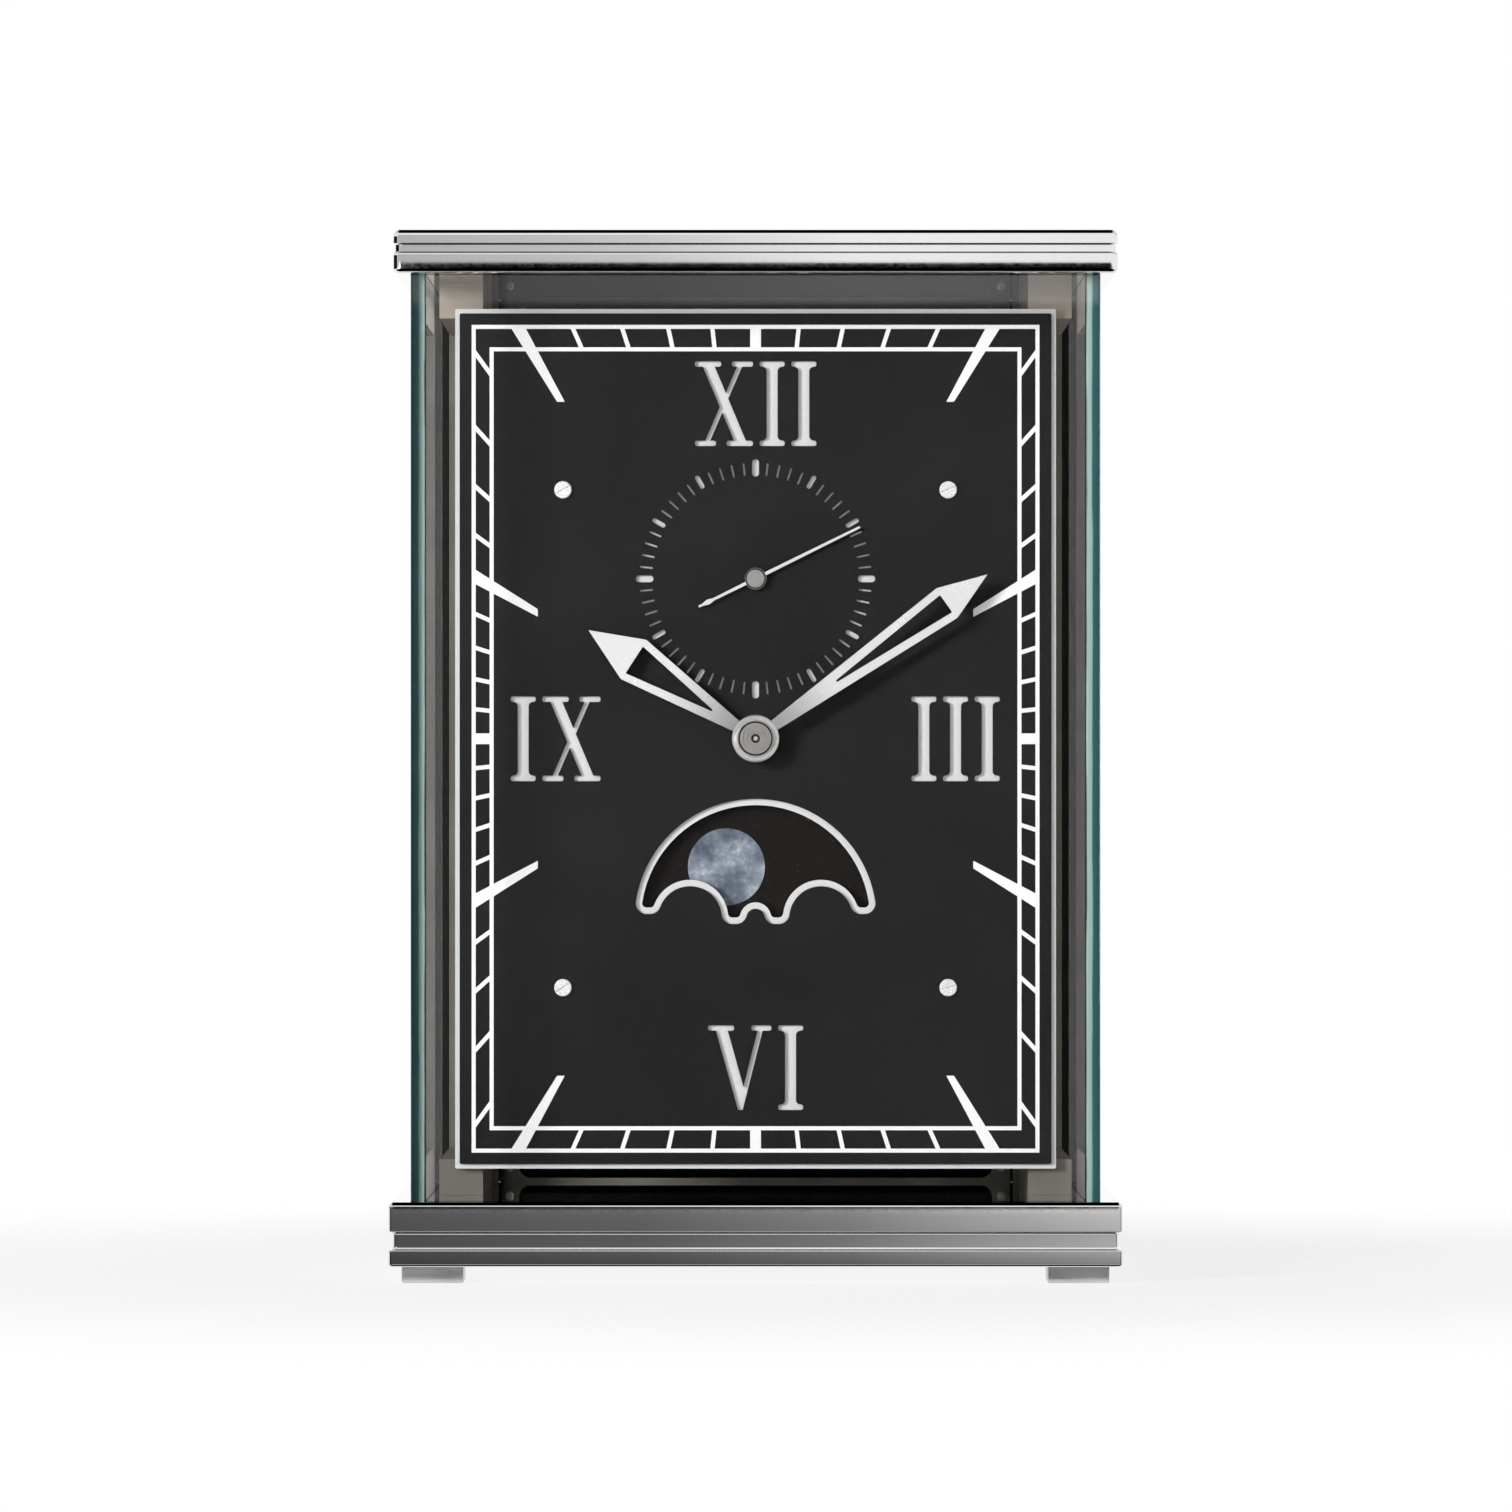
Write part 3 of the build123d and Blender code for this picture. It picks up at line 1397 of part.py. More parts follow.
def bridge_screw_places():
    """The screws of the escapement bridge and of the balance cock."""
    return [bridge_near_at, bridge_far_at, cock_foot_at]


def escape_bridge():
    """The bridge over the escape wheel and the fork, on two feet."""
    front = back_plate_rear + bridge_lift
    face = bar(bridge_near_at, fork_at, bridge_width) + bar(fork_at, bridge_far_at, bridge_width)
    face -= [Pos(*at) * Circle(jewel_radius + seat_clearance) for at in (escape_at, fork_at)]
    solid = slab(face, front, front + bridge_thickness)
    hole = bridge_screw_radius + seat_clearance
    for at in (bridge_near_at, bridge_far_at):
        solid += disc(bridge_width / 2, back_plate_rear, front, at)
        solid -= disc(hole, back_plate_rear - overrun, front + bridge_thickness + overrun, at)
    return solid


def balance_cock():
    """The cock over the balance, with a foot and a stud for the hairspring."""
    front = back_plate_rear + cock_lift
    face = bar(cock_foot_at, balance_at, cock_width)
    face -= Pos(*balance_at) * Circle(jewel_radius + seat_clearance)
    solid = slab(face, front, front + cock_thickness)
    solid += disc(cock_width / 2, back_plate_rear, front, cock_foot_at)
    hole = bridge_screw_radius + seat_clearance
    solid -= disc(hole, back_plate_rear - overrun, front + cock_thickness + overrun, cock_foot_at)
    reach = spiral_end_radius(hairspring_inner_radius, hairspring_pitch, hairspring_half_turns)
    stud_distance = reach + hairspring_thickness + hairspring_stud_gap + hairspring_stud_radius
    stud_at = polar(balance_at, stud_distance, cock_direction)
    return solid + disc(hairspring_stud_radius, back_plate_rear + hairspring_lift, front, stud_at)


def bridge_screws():
    """The screws of the bridge and the cock."""
    bridge_rear = back_plate_rear + bridge_lift + bridge_thickness
    cock_rear = back_plate_rear + cock_lift + cock_thickness
    solids = []
    for at, seat in zip(bridge_screw_places(), (bridge_rear, bridge_rear, cock_rear)):
        length = seat - back_plate_rear + plate_thickness - seat_clearance
        one = screw(bridge_screw_head_radius, bridge_screw_head_height, bridge_screw_radius, length)
        solids.append(backing(seat, at).location * one)
    return group(solids)


def balance_wheel():
    """The balance: its staff, roller, rim and arms, and the collet of its spring."""
    cock_front = back_plate_rear + cock_lift
    staff_front = back_plate_rear + end_shake
    staff_rear = cock_front - end_shake
    solid = disc(balance_staff_radius, staff_front, staff_rear, balance_at)
    solid += disc(pivot_radius, back_plate_front, staff_front, balance_at)
    solid += disc(pivot_radius, staff_rear, cock_front + cock_thickness, balance_at)
    roller_front = back_plate_rear + roller_lift
    solid += disc(balance_hub_radius, roller_front, roller_front + roller_thickness, balance_at)
    face = Circle(balance_radius) - Circle(balance_radius - balance_rim)
    face += Rectangle(2 * (balance_radius - balance_rim / 2), balance_arm_width)
    face += Circle(balance_hub_radius)
    front = back_plate_rear + balance_lift
    solid += slab(Pos(*balance_at) * face, front, front + balance_thickness)
    collet_radius = hairspring_inner_radius - hairspring_thickness / 2 - hairspring_stud_gap
    spring_front = back_plate_rear + hairspring_lift
    return solid + disc(collet_radius, spring_front, spring_front + hairspring_height, balance_at)


def hairspring():
    """The balance spring, a flat spiral round the staff's collet."""
    front = back_plate_rear + hairspring_lift
    strip = spiral_strip(hairspring_inner_radius, hairspring_pitch, hairspring_half_turns,
                         hairspring_thickness)
    return slab(Pos(*balance_at) * strip, front, front + hairspring_height)


# Motion works and moon train


def front_placed(sketch, at, lift, thickness):
    """A wheel or a pinion in front of the front plate, lifted off its front face."""
    rear = front_plate_front - lift
    return slab(Pos(*at) * sketch, rear - thickness, rear)


def hour_hand_rear():
    """The rear face of the hour hand."""
    return dial_front - hour_hand_stand_off


def minute_hand_rear():
    """The rear face of the minute hand."""
    return hour_hand_rear() - hand_thickness - minute_hand_gap


def nut_front():
    """The front face of the hand nut."""
    return minute_hand_rear() - hand_thickness - nut_thickness


def seconds_hub_front():
    """The front end of the seconds hand's hub."""
    return dial_front - seconds_hand_stand_off - seconds_hand_thickness


def cannon_pinion():
    """The cannon pinion, whose pipe carries the minute hand."""
    bore = Circle(centre_arbor_front_radius + seat_clearance)
    teeth = gear(cannon_module, cannon_teeth, minute_stud_direction, False) - bore
    solid = front_placed(teeth, centre_at, cannon_lift, cannon_pinion_length)
    pipe = Circle(cannon_pipe_radius) - bore
    front = minute_hand_rear() - hand_thickness
    return solid + slab(pipe, front, front_plate_front - cannon_lift)


def minute_wheel():
    """The minute wheel and its pinion, on a stud."""
    bore = Circle(stud_radius + running_clearance)
    towards = minute_stud_direction + 180
    wheel = gear(cannon_module, minute_wheel_teeth, towards) - bore
    pinion = gear(hour_module, minute_pinion_teeth, towards, False) - bore
    solid = front_placed(wheel, minute_at, minute_wheel_lift, motion_wheel_thickness)
    pinion_lift = minute_wheel_lift + motion_wheel_thickness
    return solid + front_placed(pinion, minute_at, pinion_lift, minute_pinion_length
                                + motion_wheel_thickness)


def hour_wheel():
    """The hour wheel, whose pipe carries a pinion for the moon and the hour hand."""
    bore = Circle(cannon_pipe_radius + running_clearance)
    wheel = gear(hour_module, hour_wheel_teeth, minute_stud_direction) - bore
    pinion = gear(moon_module, hour_pipe_pinion_teeth, heading(centre_at, transfer_at), False) - bore
    solid = front_placed(wheel, centre_at, hour_wheel_lift, motion_wheel_thickness)
    solid += front_placed(pinion, centre_at, hour_pinion_lift, hour_pinion_length)
    pipe = Circle(hour_pipe_radius) - bore
    front = hour_hand_rear() - hand_thickness
    return solid + slab(pipe, front, front_plate_front - hour_wheel_lift)


def moon_transfer_wheel():
    """The wheel and pinion between the hour pipe and the moon disc, on a stud."""
    bore = Circle(stud_radius + running_clearance)
    wheel = spoked_gear(moon_module, transfer_wheel_teeth, heading(transfer_at, centre_at)) - bore
    pinion = gear(moon_module, transfer_pinion_teeth, heading(transfer_at, moon_at), False) - bore
    solid = front_placed(wheel, transfer_at, transfer_wheel_lift, motion_wheel_thickness)
    pinion_lift = transfer_wheel_lift + motion_wheel_thickness
    return solid + front_placed(pinion, transfer_at, pinion_lift, moon_disc_front_lift() - pinion_lift)


def moon_disc_front_lift():
    """How far the moon disc's front face stands before the front plate."""
    return moon_disc_lift + moon_disc_thickness


def moon_disc():
    """The toothed moon disc, with two printed moons half a turn apart."""
    bore = Circle(moon_stud_radius + running_clearance)
    wheel = gear(moon_module, moon_disc_teeth, heading(moon_at, transfer_at)) - bore
    solid = front_placed(wheel, moon_at, moon_disc_lift, moon_disc_thickness)
    hub = Circle(moon_hub_radius) - bore
    solid += front_placed(hub, moon_at, moon_disc_lift - moon_hub_length, moon_hub_length)
    for turn in (moon_face_turn, moon_face_turn + 180):
        face_at = polar(moon_at, moon_orbit_radius, turn)
        solid += front_placed(Circle(moon_face_radius), face_at, moon_disc_front_lift(), print_thickness)
    return solid


def motion_studs():
    """The studs pressed into the front plate for the minute wheel, transfer wheel and moon disc."""
    minute_reach = minute_wheel_lift + minute_pinion_length + 2 * motion_wheel_thickness
    studs = ((minute_at, stud_radius, minute_wheel_lift, minute_reach),
             (transfer_at, stud_radius, transfer_wheel_lift, moon_disc_front_lift()),
             (moon_at, moon_stud_radius, moon_disc_lift - moon_hub_length, moon_disc_front_lift()))
    solids = []
    for at, radius, seat, reach in studs:
        collar = front_plate_front - seat + running_clearance
        solid = disc(radius, front_plate_front - reach, front_plate_front, at)
        solid += disc(radius + stud_flange, collar, front_plate_front, at)
        solid += disc(stud_press_radius, front_plate_front, front_plate_rear, at)
        solids.append(solid)
    return group(solids)


# Hands


def hand_outline(tip, shoulder, half_width, neck, window_start, window_end, window_half_width):
    """A hand that points up: a slim kite with a solid tip and a long window."""
    hub_edge = math.sqrt(hand_hub_radius ** 2 - neck ** 2)
    points = [(neck, hub_edge), (half_width, shoulder), (0, tip), (-half_width, shoulder),
              (-neck, hub_edge)]
    face = make_face(Polyline(*points, close=True)) + Circle(hand_hub_radius)
    window = Polyline((0, window_start), (window_half_width, window_end),
                      (-window_half_width, window_end), close=True)
    window = make_face(window)
    return face - fillet(window.vertices(), hand_corner_round)


def hour_hand():
    """The hour hand on its pipe."""
    face = hand_outline(hour_hand_tip, hour_hand_shoulder, hour_hand_half_width, hour_hand_neck,
                        hour_window_start, hour_window_end, hour_window_half_width)
    face -= Circle(hour_pipe_radius + seat_clearance)
    rear = hour_hand_rear()
    return slab(Rot(0, 0, -hour_hand_angle) * face, rear - hand_thickness, rear)


def minute_hand():
    """The minute hand on the cannon pipe."""
    face = hand_outline(minute_hand_tip, minute_hand_shoulder, minute_hand_half_width,
                        minute_hand_neck, minute_window_start, minute_window_end,
                        minute_window_half_width)
    face -= Circle(cannon_pipe_radius + seat_clearance)
    rear = minute_hand_rear()
    return slab(Rot(0, 0, -minute_hand_angle) * face, rear - hand_thickness, rear)


def hand_nut():
    """The turned nut over the minute hand, with a raised ring round the arbor's end."""
    rear = minute_hand_rear() - hand_thickness
    step_front = nut_front() + nut_ring_step
    solid = disc(nut_radius, step_front, rear)
    solid = chamfer(solid.edges().filter_by(GeomType.CIRCLE).sort_by(Axis.Y)[0], nut_edge)
    solid += disc(nut_ring_radius, nut_front(), rear)
    solid -= disc(centre_arbor_front_radius + seat_clearance, nut_front() - overrun, rear + overrun)
    return solid - disc(nut_hole_radius, nut_front() - overrun, step_front)


def seconds_hand():
    """The seconds hand: a slim blade, a tail with a small diamond, and a capped hub."""
    root = seconds_hand_root_width / 2
    tip = seconds_hand_tip_width / 2
    blade = Polyline((-root, 0), (-tip, seconds_hand_tip), (tip, seconds_hand_tip), (root, 0),
                     close=True)
    tail = Polyline((-root, 0), (root, 0), (tip, -seconds_hand_tail), (-tip, -seconds_hand_tail),
                    close=True)
    half = seconds_diamond_length / 2
    middle = -seconds_diamond_middle
    diamond = Polyline((0, middle - half), (seconds_diamond_width / 2, middle), (0, middle + half),
                       (-seconds_diamond_width / 2, middle), close=True)
    face = make_face(blade) + make_face(tail) + make_face(diamond)
    face += Circle(seconds_hub_radius)
    face -= Circle(seconds_arbor_front_radius + seat_clearance)
    rear = dial_front - seconds_hand_stand_off
    solid = slab(Pos(*seconds_at) * Rot(0, 0, -seconds_hand_angle) * face, rear
                 - seconds_hand_thickness, rear)
    cap_rear = seconds_hub_front()
    return solid + disc(seconds_cap_radius, cap_rear - seconds_cap_height, cap_rear, seconds_at)


makers = {
    "base_block": base_block,
    "cap_block": cap_block,
    "feet": feet,
    "foot_screws": foot_screws,
    "front_glass": front_glass,
    "left_glass": lambda: side_glass(-1),
    "right_glass": lambda: side_glass(1),
    "lower_rails": lower_rails,
    "upper_rails": upper_rails,
    "case_screws": case_screws,
    "left_post": lambda: rear_post(-1),
    "right_post": lambda: rear_post(1),
    "dial_uprights": dial_uprights,
    "upright_screws": upright_screws,
    "door_frame": door_frame,
    "door_glass": door_glass,
    "door_screws": door_screws,
    "door_hinge_pins": door_hinge_pins,
    "door_knob": door_knob,
    "door_catch": door_catch,
    "dial_plate": dial_plate,
    "minute_track": minute_track,
    "dial_back_plate": dial_back_plate,
    "dial_screws": dial_screws,
    "dial_pillars": dial_pillars,
    "front_plate": front_plate,
    "back_plate": back_plate,
    "plate_pillars": plate_pillars,
    "pillar_screws": pillar_screws,
    "jewels": jewels,
    "barrel": barrel,
    "barrel_lid": barrel_lid,
    "mainspring": mainspring,
    "barrel_arbor": barrel_arbor,
    "ratchet_wheel": ratchet_wheel,
    "click": click,
    "click_screw": click_screw,
    "intermediate_wheel": intermediate_wheel,
    "centre_arbor": centre_arbor,
    "centre_wheel": centre_wheel,
    "setting_knob": setting_knob,
    "third_wheel": third_wheel,
    "seconds_wheel": seconds_wheel,
    "escape_wheel": escape_wheel,
    "pallet_fork": pallet_fork,
    "escape_bridge": escape_bridge,
    "balance_wheel": balance_wheel,
    "hairspring": hairspring,
    "balance_cock": balance_cock,
    "bridge_screws": bridge_screws,
    "motion_studs": motion_studs,
    "cannon_pinion": cannon_pinion,
    "minute_wheel": minute_wheel,
    "hour_wheel": hour_wheel,
    "moon_transfer_wheel": moon_transfer_wheel,
    "moon_disc": moon_disc,
    "hour_hand": hour_hand,
    "minute_hand": minute_hand,
    "hand_nut": hand_nut,
    "seconds_hand": seconds_hand,
}

os.makedirs("parts", exist_ok=True)
for name, maker in makers.items():
    export_step(maker(), f"parts/{name}.step")

least_gap = spiral_gap(hairspring_inner_radius, hairspring_pitch, hairspring_half_turns,
                       hairspring_thickness)
print(f"hairspring: least gap between turns {least_gap:.2f} mm")
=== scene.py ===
import math

import bmesh
import bpy
from mathutils import Matrix, Vector


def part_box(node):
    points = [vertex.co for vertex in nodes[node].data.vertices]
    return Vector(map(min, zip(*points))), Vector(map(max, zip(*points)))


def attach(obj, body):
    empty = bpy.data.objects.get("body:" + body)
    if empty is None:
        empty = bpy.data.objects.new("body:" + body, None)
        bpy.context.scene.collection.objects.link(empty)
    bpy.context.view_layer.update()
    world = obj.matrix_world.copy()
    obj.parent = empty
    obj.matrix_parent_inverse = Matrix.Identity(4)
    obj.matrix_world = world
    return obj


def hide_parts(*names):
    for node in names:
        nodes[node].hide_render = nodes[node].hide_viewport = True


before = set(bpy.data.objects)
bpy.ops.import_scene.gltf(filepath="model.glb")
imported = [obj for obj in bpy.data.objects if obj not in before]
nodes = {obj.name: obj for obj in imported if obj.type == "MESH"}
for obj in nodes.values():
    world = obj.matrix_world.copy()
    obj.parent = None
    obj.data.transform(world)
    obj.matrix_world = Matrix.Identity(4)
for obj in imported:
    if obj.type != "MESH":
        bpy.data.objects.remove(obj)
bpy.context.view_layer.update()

# Every length here is in metres, written as millimetres times MM.
MM = 0.001

# The dial's places
hands_centre = (0, 0.145)
seconds_centre = (0, 0.1881995)
moon_centre = (0, 0.0960978)
moon_orbit = 16.3 * MM
moon_turns = (118.9, 298.9)
moon_radius = 10.4 * MM
moon_slack = 0.05 * MM
moon_paint_depth = 0.09 * MM
seconds_cap_radius = 2.45 * MM
seconds_cap_level = -32.0 * MM

# Base and cap blocks
base_corner = 1.2 * MM
base_top_chamfer = 0.95 * MM
base_chamfer_ease = 0.24 * MM
base_bottom_roll = 0.8 * MM
base_groove = (8.9 * MM, 13.7 * MM)
base_groove_depth = 1.15 * MM
base_cove = 0.8 * MM
cap_corner = 2.0 * MM
cap_top_roll = 1.9 * MM
cap_bottom_roll = 1.25 * MM
cap_groove = (274.1 * MM, 276.2 * MM)
cap_groove_depth = 0.5 * MM
cap_cove = 0.3 * MM
cap_roll_radius = 1.2 * MM
base_lip = 0.3 * MM
cap_lip = 0.18 * MM
side_slack = 0.1 * MM
pane_groove_depth = 1.0 * MM
pane_groove_gap = 0.1 * MM
door_step_x = 72.0 * MM
door_step_y = 60.4 * MM
door_step_depth = 4.6 * MM

# Glass
pane_thickness = 4.0 * MM
pane_outer_x = 91.75 * MM
pane_chamfer = 0.3 * MM
pane_glue_gap = 0.02 * MM

# Feet and screw heads
foot_edge = 0.35 * MM
foot_sole_edge = 0.5 * MM
foot_size = 16.5 * MM
foot_screw_seat = (3.02 * MM, 2.0 * MM)
case_screw_seat = (2.62 * MM, 1.6 * MM)
rail_screw_x = 79.6 * MM
rail_screw_inset = 9.0 * MM
post_screw_x = 74.9 * MM
cut_overrun = 1.0 * MM

# Near-black strips of painted shade in the gaps by the posts, measured from the edges of the posts
strip_gap = 0.02 * MM
strip_end_gap = 0.1 * MM
strip_edge = 0.12 * MM
rear_strip_y = (7.2 * MM, 0.6 * MM)
door_strip_width = 0.75 * MM
door_strip_y = (0.3 * MM, 2.3 * MM)


# Selecting and shaping


def deselect_all():
    bpy.ops.object.select_all(action="DESELECT")


def activate(piece):
    """Makes one piece the only selected one, and the active one."""
    deselect_all()
    piece.select_set(True)
    bpy.context.view_layer.objects.active = piece


def add_object(name, data):
    """A new object in the scene."""
    made = bpy.data.objects.new(name, data)
    bpy.context.scene.collection.objects.link(made)
    return made


def open_piece(piece, mode="FACE"):
    """Opens one piece for editing, with nothing on it selected."""
    activate(piece)
    bpy.ops.object.mode_set(mode="EDIT")
    bpy.ops.mesh.select_mode(type=mode)
    bpy.ops.mesh.select_all(action="DESELECT")


def close_piece():
    bpy.ops.object.mode_set(mode="OBJECT")


def pick(piece, kind, test):
    """Selects the faces or the edges that pass a test."""
    bpy.ops.mesh.select_mode(type=kind)
    bpy.ops.mesh.select_all(action="DESELECT")
    mesh = bmesh.from_edit_mesh(piece.data)
    for part in mesh.faces if kind == "FACE" else mesh.edges:
        if test(part):
            part.select_set(True)
    bmesh.update_edit_mesh(piece.data)


def pick_upright_edges(piece):
    def upright(edge):
        first, last = (end.co for end in edge.verts)
        return near(first.x, last.x) and near(first.y, last.y)

    pick(piece, "EDGE", upright)


def pick_level_edges(piece, height, test=lambda point: True):
    """Selects the edges at one height whose ends pass a test."""
    pick(piece, "EDGE", lambda edge: all(near(end.co.z, height) and test(end.co) for end in edge.verts))


def round_picked(offset, segments):
    bpy.ops.mesh.bevel(offset=offset, offset_type="OFFSET", segments=segments, profile=0.5,
                       affect="EDGES", clamp_overlap=False)


def near(a, b, slack=0.01 * MM):
    return abs(a - b) < slack


def new_block(name, low, high):
    """A rectangular block between two corners."""
    deselect_all()
    middle = [(a + b) / 2 for a, b in zip(low, high)]
    size = [b - a for a, b in zip(low, high)]
    bpy.ops.mesh.primitive_cube_add(size=1, location=middle, scale=size)
    piece = bpy.context.object
    piece.name = name
    bpy.ops.object.transform_apply(location=True, rotation=True, scale=True)
    return piece


def apply_modifier(piece, kind, **settings):
    """Adds a modifier with its settings and applies it."""
    activate(piece)
    modifier = piece.modifiers.new(kind.lower(), kind)
    for name, value in settings.items():
        setattr(modifier, name, value)
    bpy.ops.object.modifier_apply(modifier=modifier.name)


def cut_away(piece, cutter):
    """Takes a cutter's shape out of a piece."""
    apply_modifier(piece, "BOOLEAN", operation="DIFFERENCE", solver="EXACT", object=cutter)
    bpy.data.objects.remove(cutter)


def mill(piece, low, high):
    """Mills a rectangular pocket out of a piece."""
    cut_away(piece, new_block("cutter", low, high))


def drill(piece, x, y, z_range, radius):
    """Drills an upright hole."""
    deselect_all()
    z = (z_range[0] + z_range[1]) / 2
    bpy.ops.mesh.primitive_cylinder_add(vertices=40, radius=radius, depth=z_range[1] - z_range[0],
                                        location=(x, y, z))
    cutter = bpy.context.object
    bpy.ops.object.transform_apply(location=True, rotation=True, scale=True)
    cut_away(piece, cutter)


def smooth(piece, angle=30):
    """Smooth shading across gentle edges, with flat faces kept flat to the eye."""
    activate(piece)
    bpy.ops.object.shade_smooth_by_angle(angle=math.radians(angle))
    apply_modifier(piece, "WEIGHTED_NORMAL", keep_sharp=True, weight=80)


def paint(piece, *finishes):
    """Gives a piece its finishes, the first of them all over."""
    piece.data.materials.clear()
    for finish in finishes:
        piece.data.materials.append(finish)


def fit(piece, body, slot, *replaced):
    """Lets a piece move with its body and stand for its plain nodes."""
    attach(piece, body)
    if replaced:
        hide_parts(*replaced)
    return piece


# Finishes: shared effects


def add_node(tree, kind, settings=None, sockets=None):
    """A node with its settings, and with its inputs set or linked."""
    made = tree.nodes.new(kind)
    for name, value in (settings or {}).items():
        setattr(made, name, value)
    for name, value in (sockets or {}).items():
        if isinstance(value, bpy.types.NodeSocket):
            tree.links.new(value, made.inputs[name])
        else:
            made.inputs[name].default_value = value
    return made


def math_of(tree, operation, *given):
    """The result of a math node, from values and other nodes' outputs."""
    made = add_node(tree, "ShaderNodeMath", {"operation": operation}, dict(enumerate(given)))
    return made.outputs["Value"]


def vector_of(tree, operation, *given):
    """The result of a vector math node, from vectors and other nodes' outputs."""
    made = add_node(tree, "ShaderNodeVectorMath", {"operation": operation}, dict(enumerate(given)))
    return made.outputs["Value" if operation == "LENGTH" else "Vector"]


def scaled(tree, colour, factor):
    made = add_node(tree, "ShaderNodeVectorMath", {"operation": "SCALE"}, {0: colour, "Scale": factor})
    return made.outputs["Vector"]


def object_place(tree):
    """Where a point lies on its piece."""
    return add_node(tree, "ShaderNodeTexCoord").outputs["Object"]


def distance_from_axis(tree, axis):
    """How far a point lies from an axis that points along Y."""
    offset = vector_of(tree, "SUBTRACT", object_place(tree), axis)
    return vector_of(tree, "LENGTH", vector_of(tree, "MULTIPLY", offset, (1, 0, 1)))


def ranged(tree, value, low, high, start=0.0, end=1.0, kind="LINEAR"):
    """A value's span from start to end, turned into one from low to high."""
    spread = add_node(tree, "ShaderNodeMapRange", {"interpolation_type": kind},
                      {"Value": value, "From Min": start, "From Max": end, "To Min": low,
                       "To Max": high})
    return spread.outputs["Result"]


def ramped(tree, value, stops):
    """Colours picked along a ramp's stops."""
    ramp = add_node(tree, "ShaderNodeValToRGB", None, {"Fac": value})
    elements = ramp.color_ramp.elements
    while len(elements) > 1:
        elements.remove(elements[-1])
    elements[0].position = stops[0][0]
    elements[0].color = (*stops[0][1], 1)
    for position, tone in stops[1:]:
        elements.new(position).color = (*tone, 1)
    return ramp.outputs["Color"]


def surface_mix(tree, factor, first, second):
    """Ends a material in a mix of two shaders."""
    mix = add_node(tree, "ShaderNodeMixShader", None, {0: factor, 1: first, 2: second})
    tree.links.new(mix.outputs["Shader"], tree.nodes["Material Output"].inputs["Surface"])


def new_effect(name, inputs):
    """A shared effect: a node group with its inputs, which gives a mask."""
    group = bpy.data.node_groups.new(name, "ShaderNodeTree")
    for label, kind, value in inputs:
        socket = group.interface.new_socket(name=label, in_out="INPUT", socket_type=kind)
        socket.default_value = value
    group.interface.new_socket(name="Mask", in_out="OUTPUT", socket_type="NodeSocketFloat")
    return group, group.nodes.new("NodeGroupInput").outputs, group.nodes.new("NodeGroupOutput").inputs


def grain_effect():
    """Fine grain, drawn out into lines where its stretch differs along an axis."""
    group, given, out = new_effect("metal_grain", [("Fineness", "NodeSocketFloat", 900.0),
                                                   ("Stretch", "NodeSocketVector", (1, 1, 1))])
    place = vector_of(group, "MULTIPLY", object_place(group), given["Stretch"])
    noise = add_node(group, "ShaderNodeTexNoise", None,
                     {"Vector": place, "Scale": given["Fineness"], "Detail": 4.0, "Roughness": 0.6})
    group.links.new(ranged(group, noise.outputs["Fac"], 0.0, 1.0, 0.3, 0.7), out["Mask"])
    return group


def turning_effect():
    """The fine rings that a lathe leaves round an axis that points along Y."""
    group, given, out = new_effect("lathe_rings", [("Axis", "NodeSocketVector", (0, 0, 0)),
                                                   ("Rings", "NodeSocketFloat", 6000.0)])
    along = math_of(group, "MULTIPLY", distance_from_axis(group, given["Axis"]), given["Rings"])
    noise = add_node(group, "ShaderNodeTexNoise", {"noise_dimensions": "1D"},
                     {"W": along, "Scale": 1.0, "Detail": 3.0, "Roughness": 0.7})
    group.links.new(noise.outputs["Fac"], out["Mask"])
    return group


def handling_effect():
    """Soft uneven patches left by handling, wiping and age."""
    group, given, out = new_effect("handling_marks", [("Size", "NodeSocketFloat", 30.0)])
    broad = add_node(group, "ShaderNodeTexNoise", None,
                     {"Vector": object_place(group), "Scale": given["Size"], "Detail": 3.0,
                      "Distortion": 0.6})
    group.links.new(ranged(group, broad.outputs["Fac"], 0.0, 1.0, 0.35, 0.65), out["Mask"])
    return group


effects = {"grain": grain_effect(), "turning": turning_effect(), "handling": handling_effect()}


def bare_material(name):
    """A new material and its nodes."""
    finish = bpy.data.materials.new(name)
    finish.use_nodes = True
    return finish, finish.node_tree


def new_finish(name, sockets):
    """A material with its plain values set, ready for its effects."""
    finish, tree = bare_material(name)
    shader = tree.nodes["Principled BSDF"]
    for label, value in sockets.items():
        shader.inputs[label].default_value = value
    return finish, tree, shader


def effect_mask(tree, effect, **sockets):
    """One shared effect in a material, with its own values."""
    placed = add_node(tree, "ShaderNodeGroup", {"node_tree": effects[effect]}, sockets)
    return placed.outputs["Mask"]


def two_toned(tree, shader, mask, first, second):
    """Base colour that wanders between two tones."""
    mix = add_node(tree, "ShaderNodeMix", {"data_type": "RGBA"},
                   {0: mask, 6: (*first, 1), 7: (*second, 1)})
    tree.links.new(mix.outputs[2], shader.inputs["Base Color"])


def roughened(tree, shader, mask, low, high):
    """Roughness that follows a mask between two values."""
    tree.links.new(ranged(tree, mask, low, high), shader.inputs["Roughness"])


def relief(tree, shader, mask, depth):
    """A shallow relief from a mask, its depth in metres."""
    bump = add_node(tree, "ShaderNodeBump", None, {"Height": mask, "Strength": 1.0, "Distance": depth})
    tree.links.new(bump.outputs["Normal"], shader.inputs["Normal"])


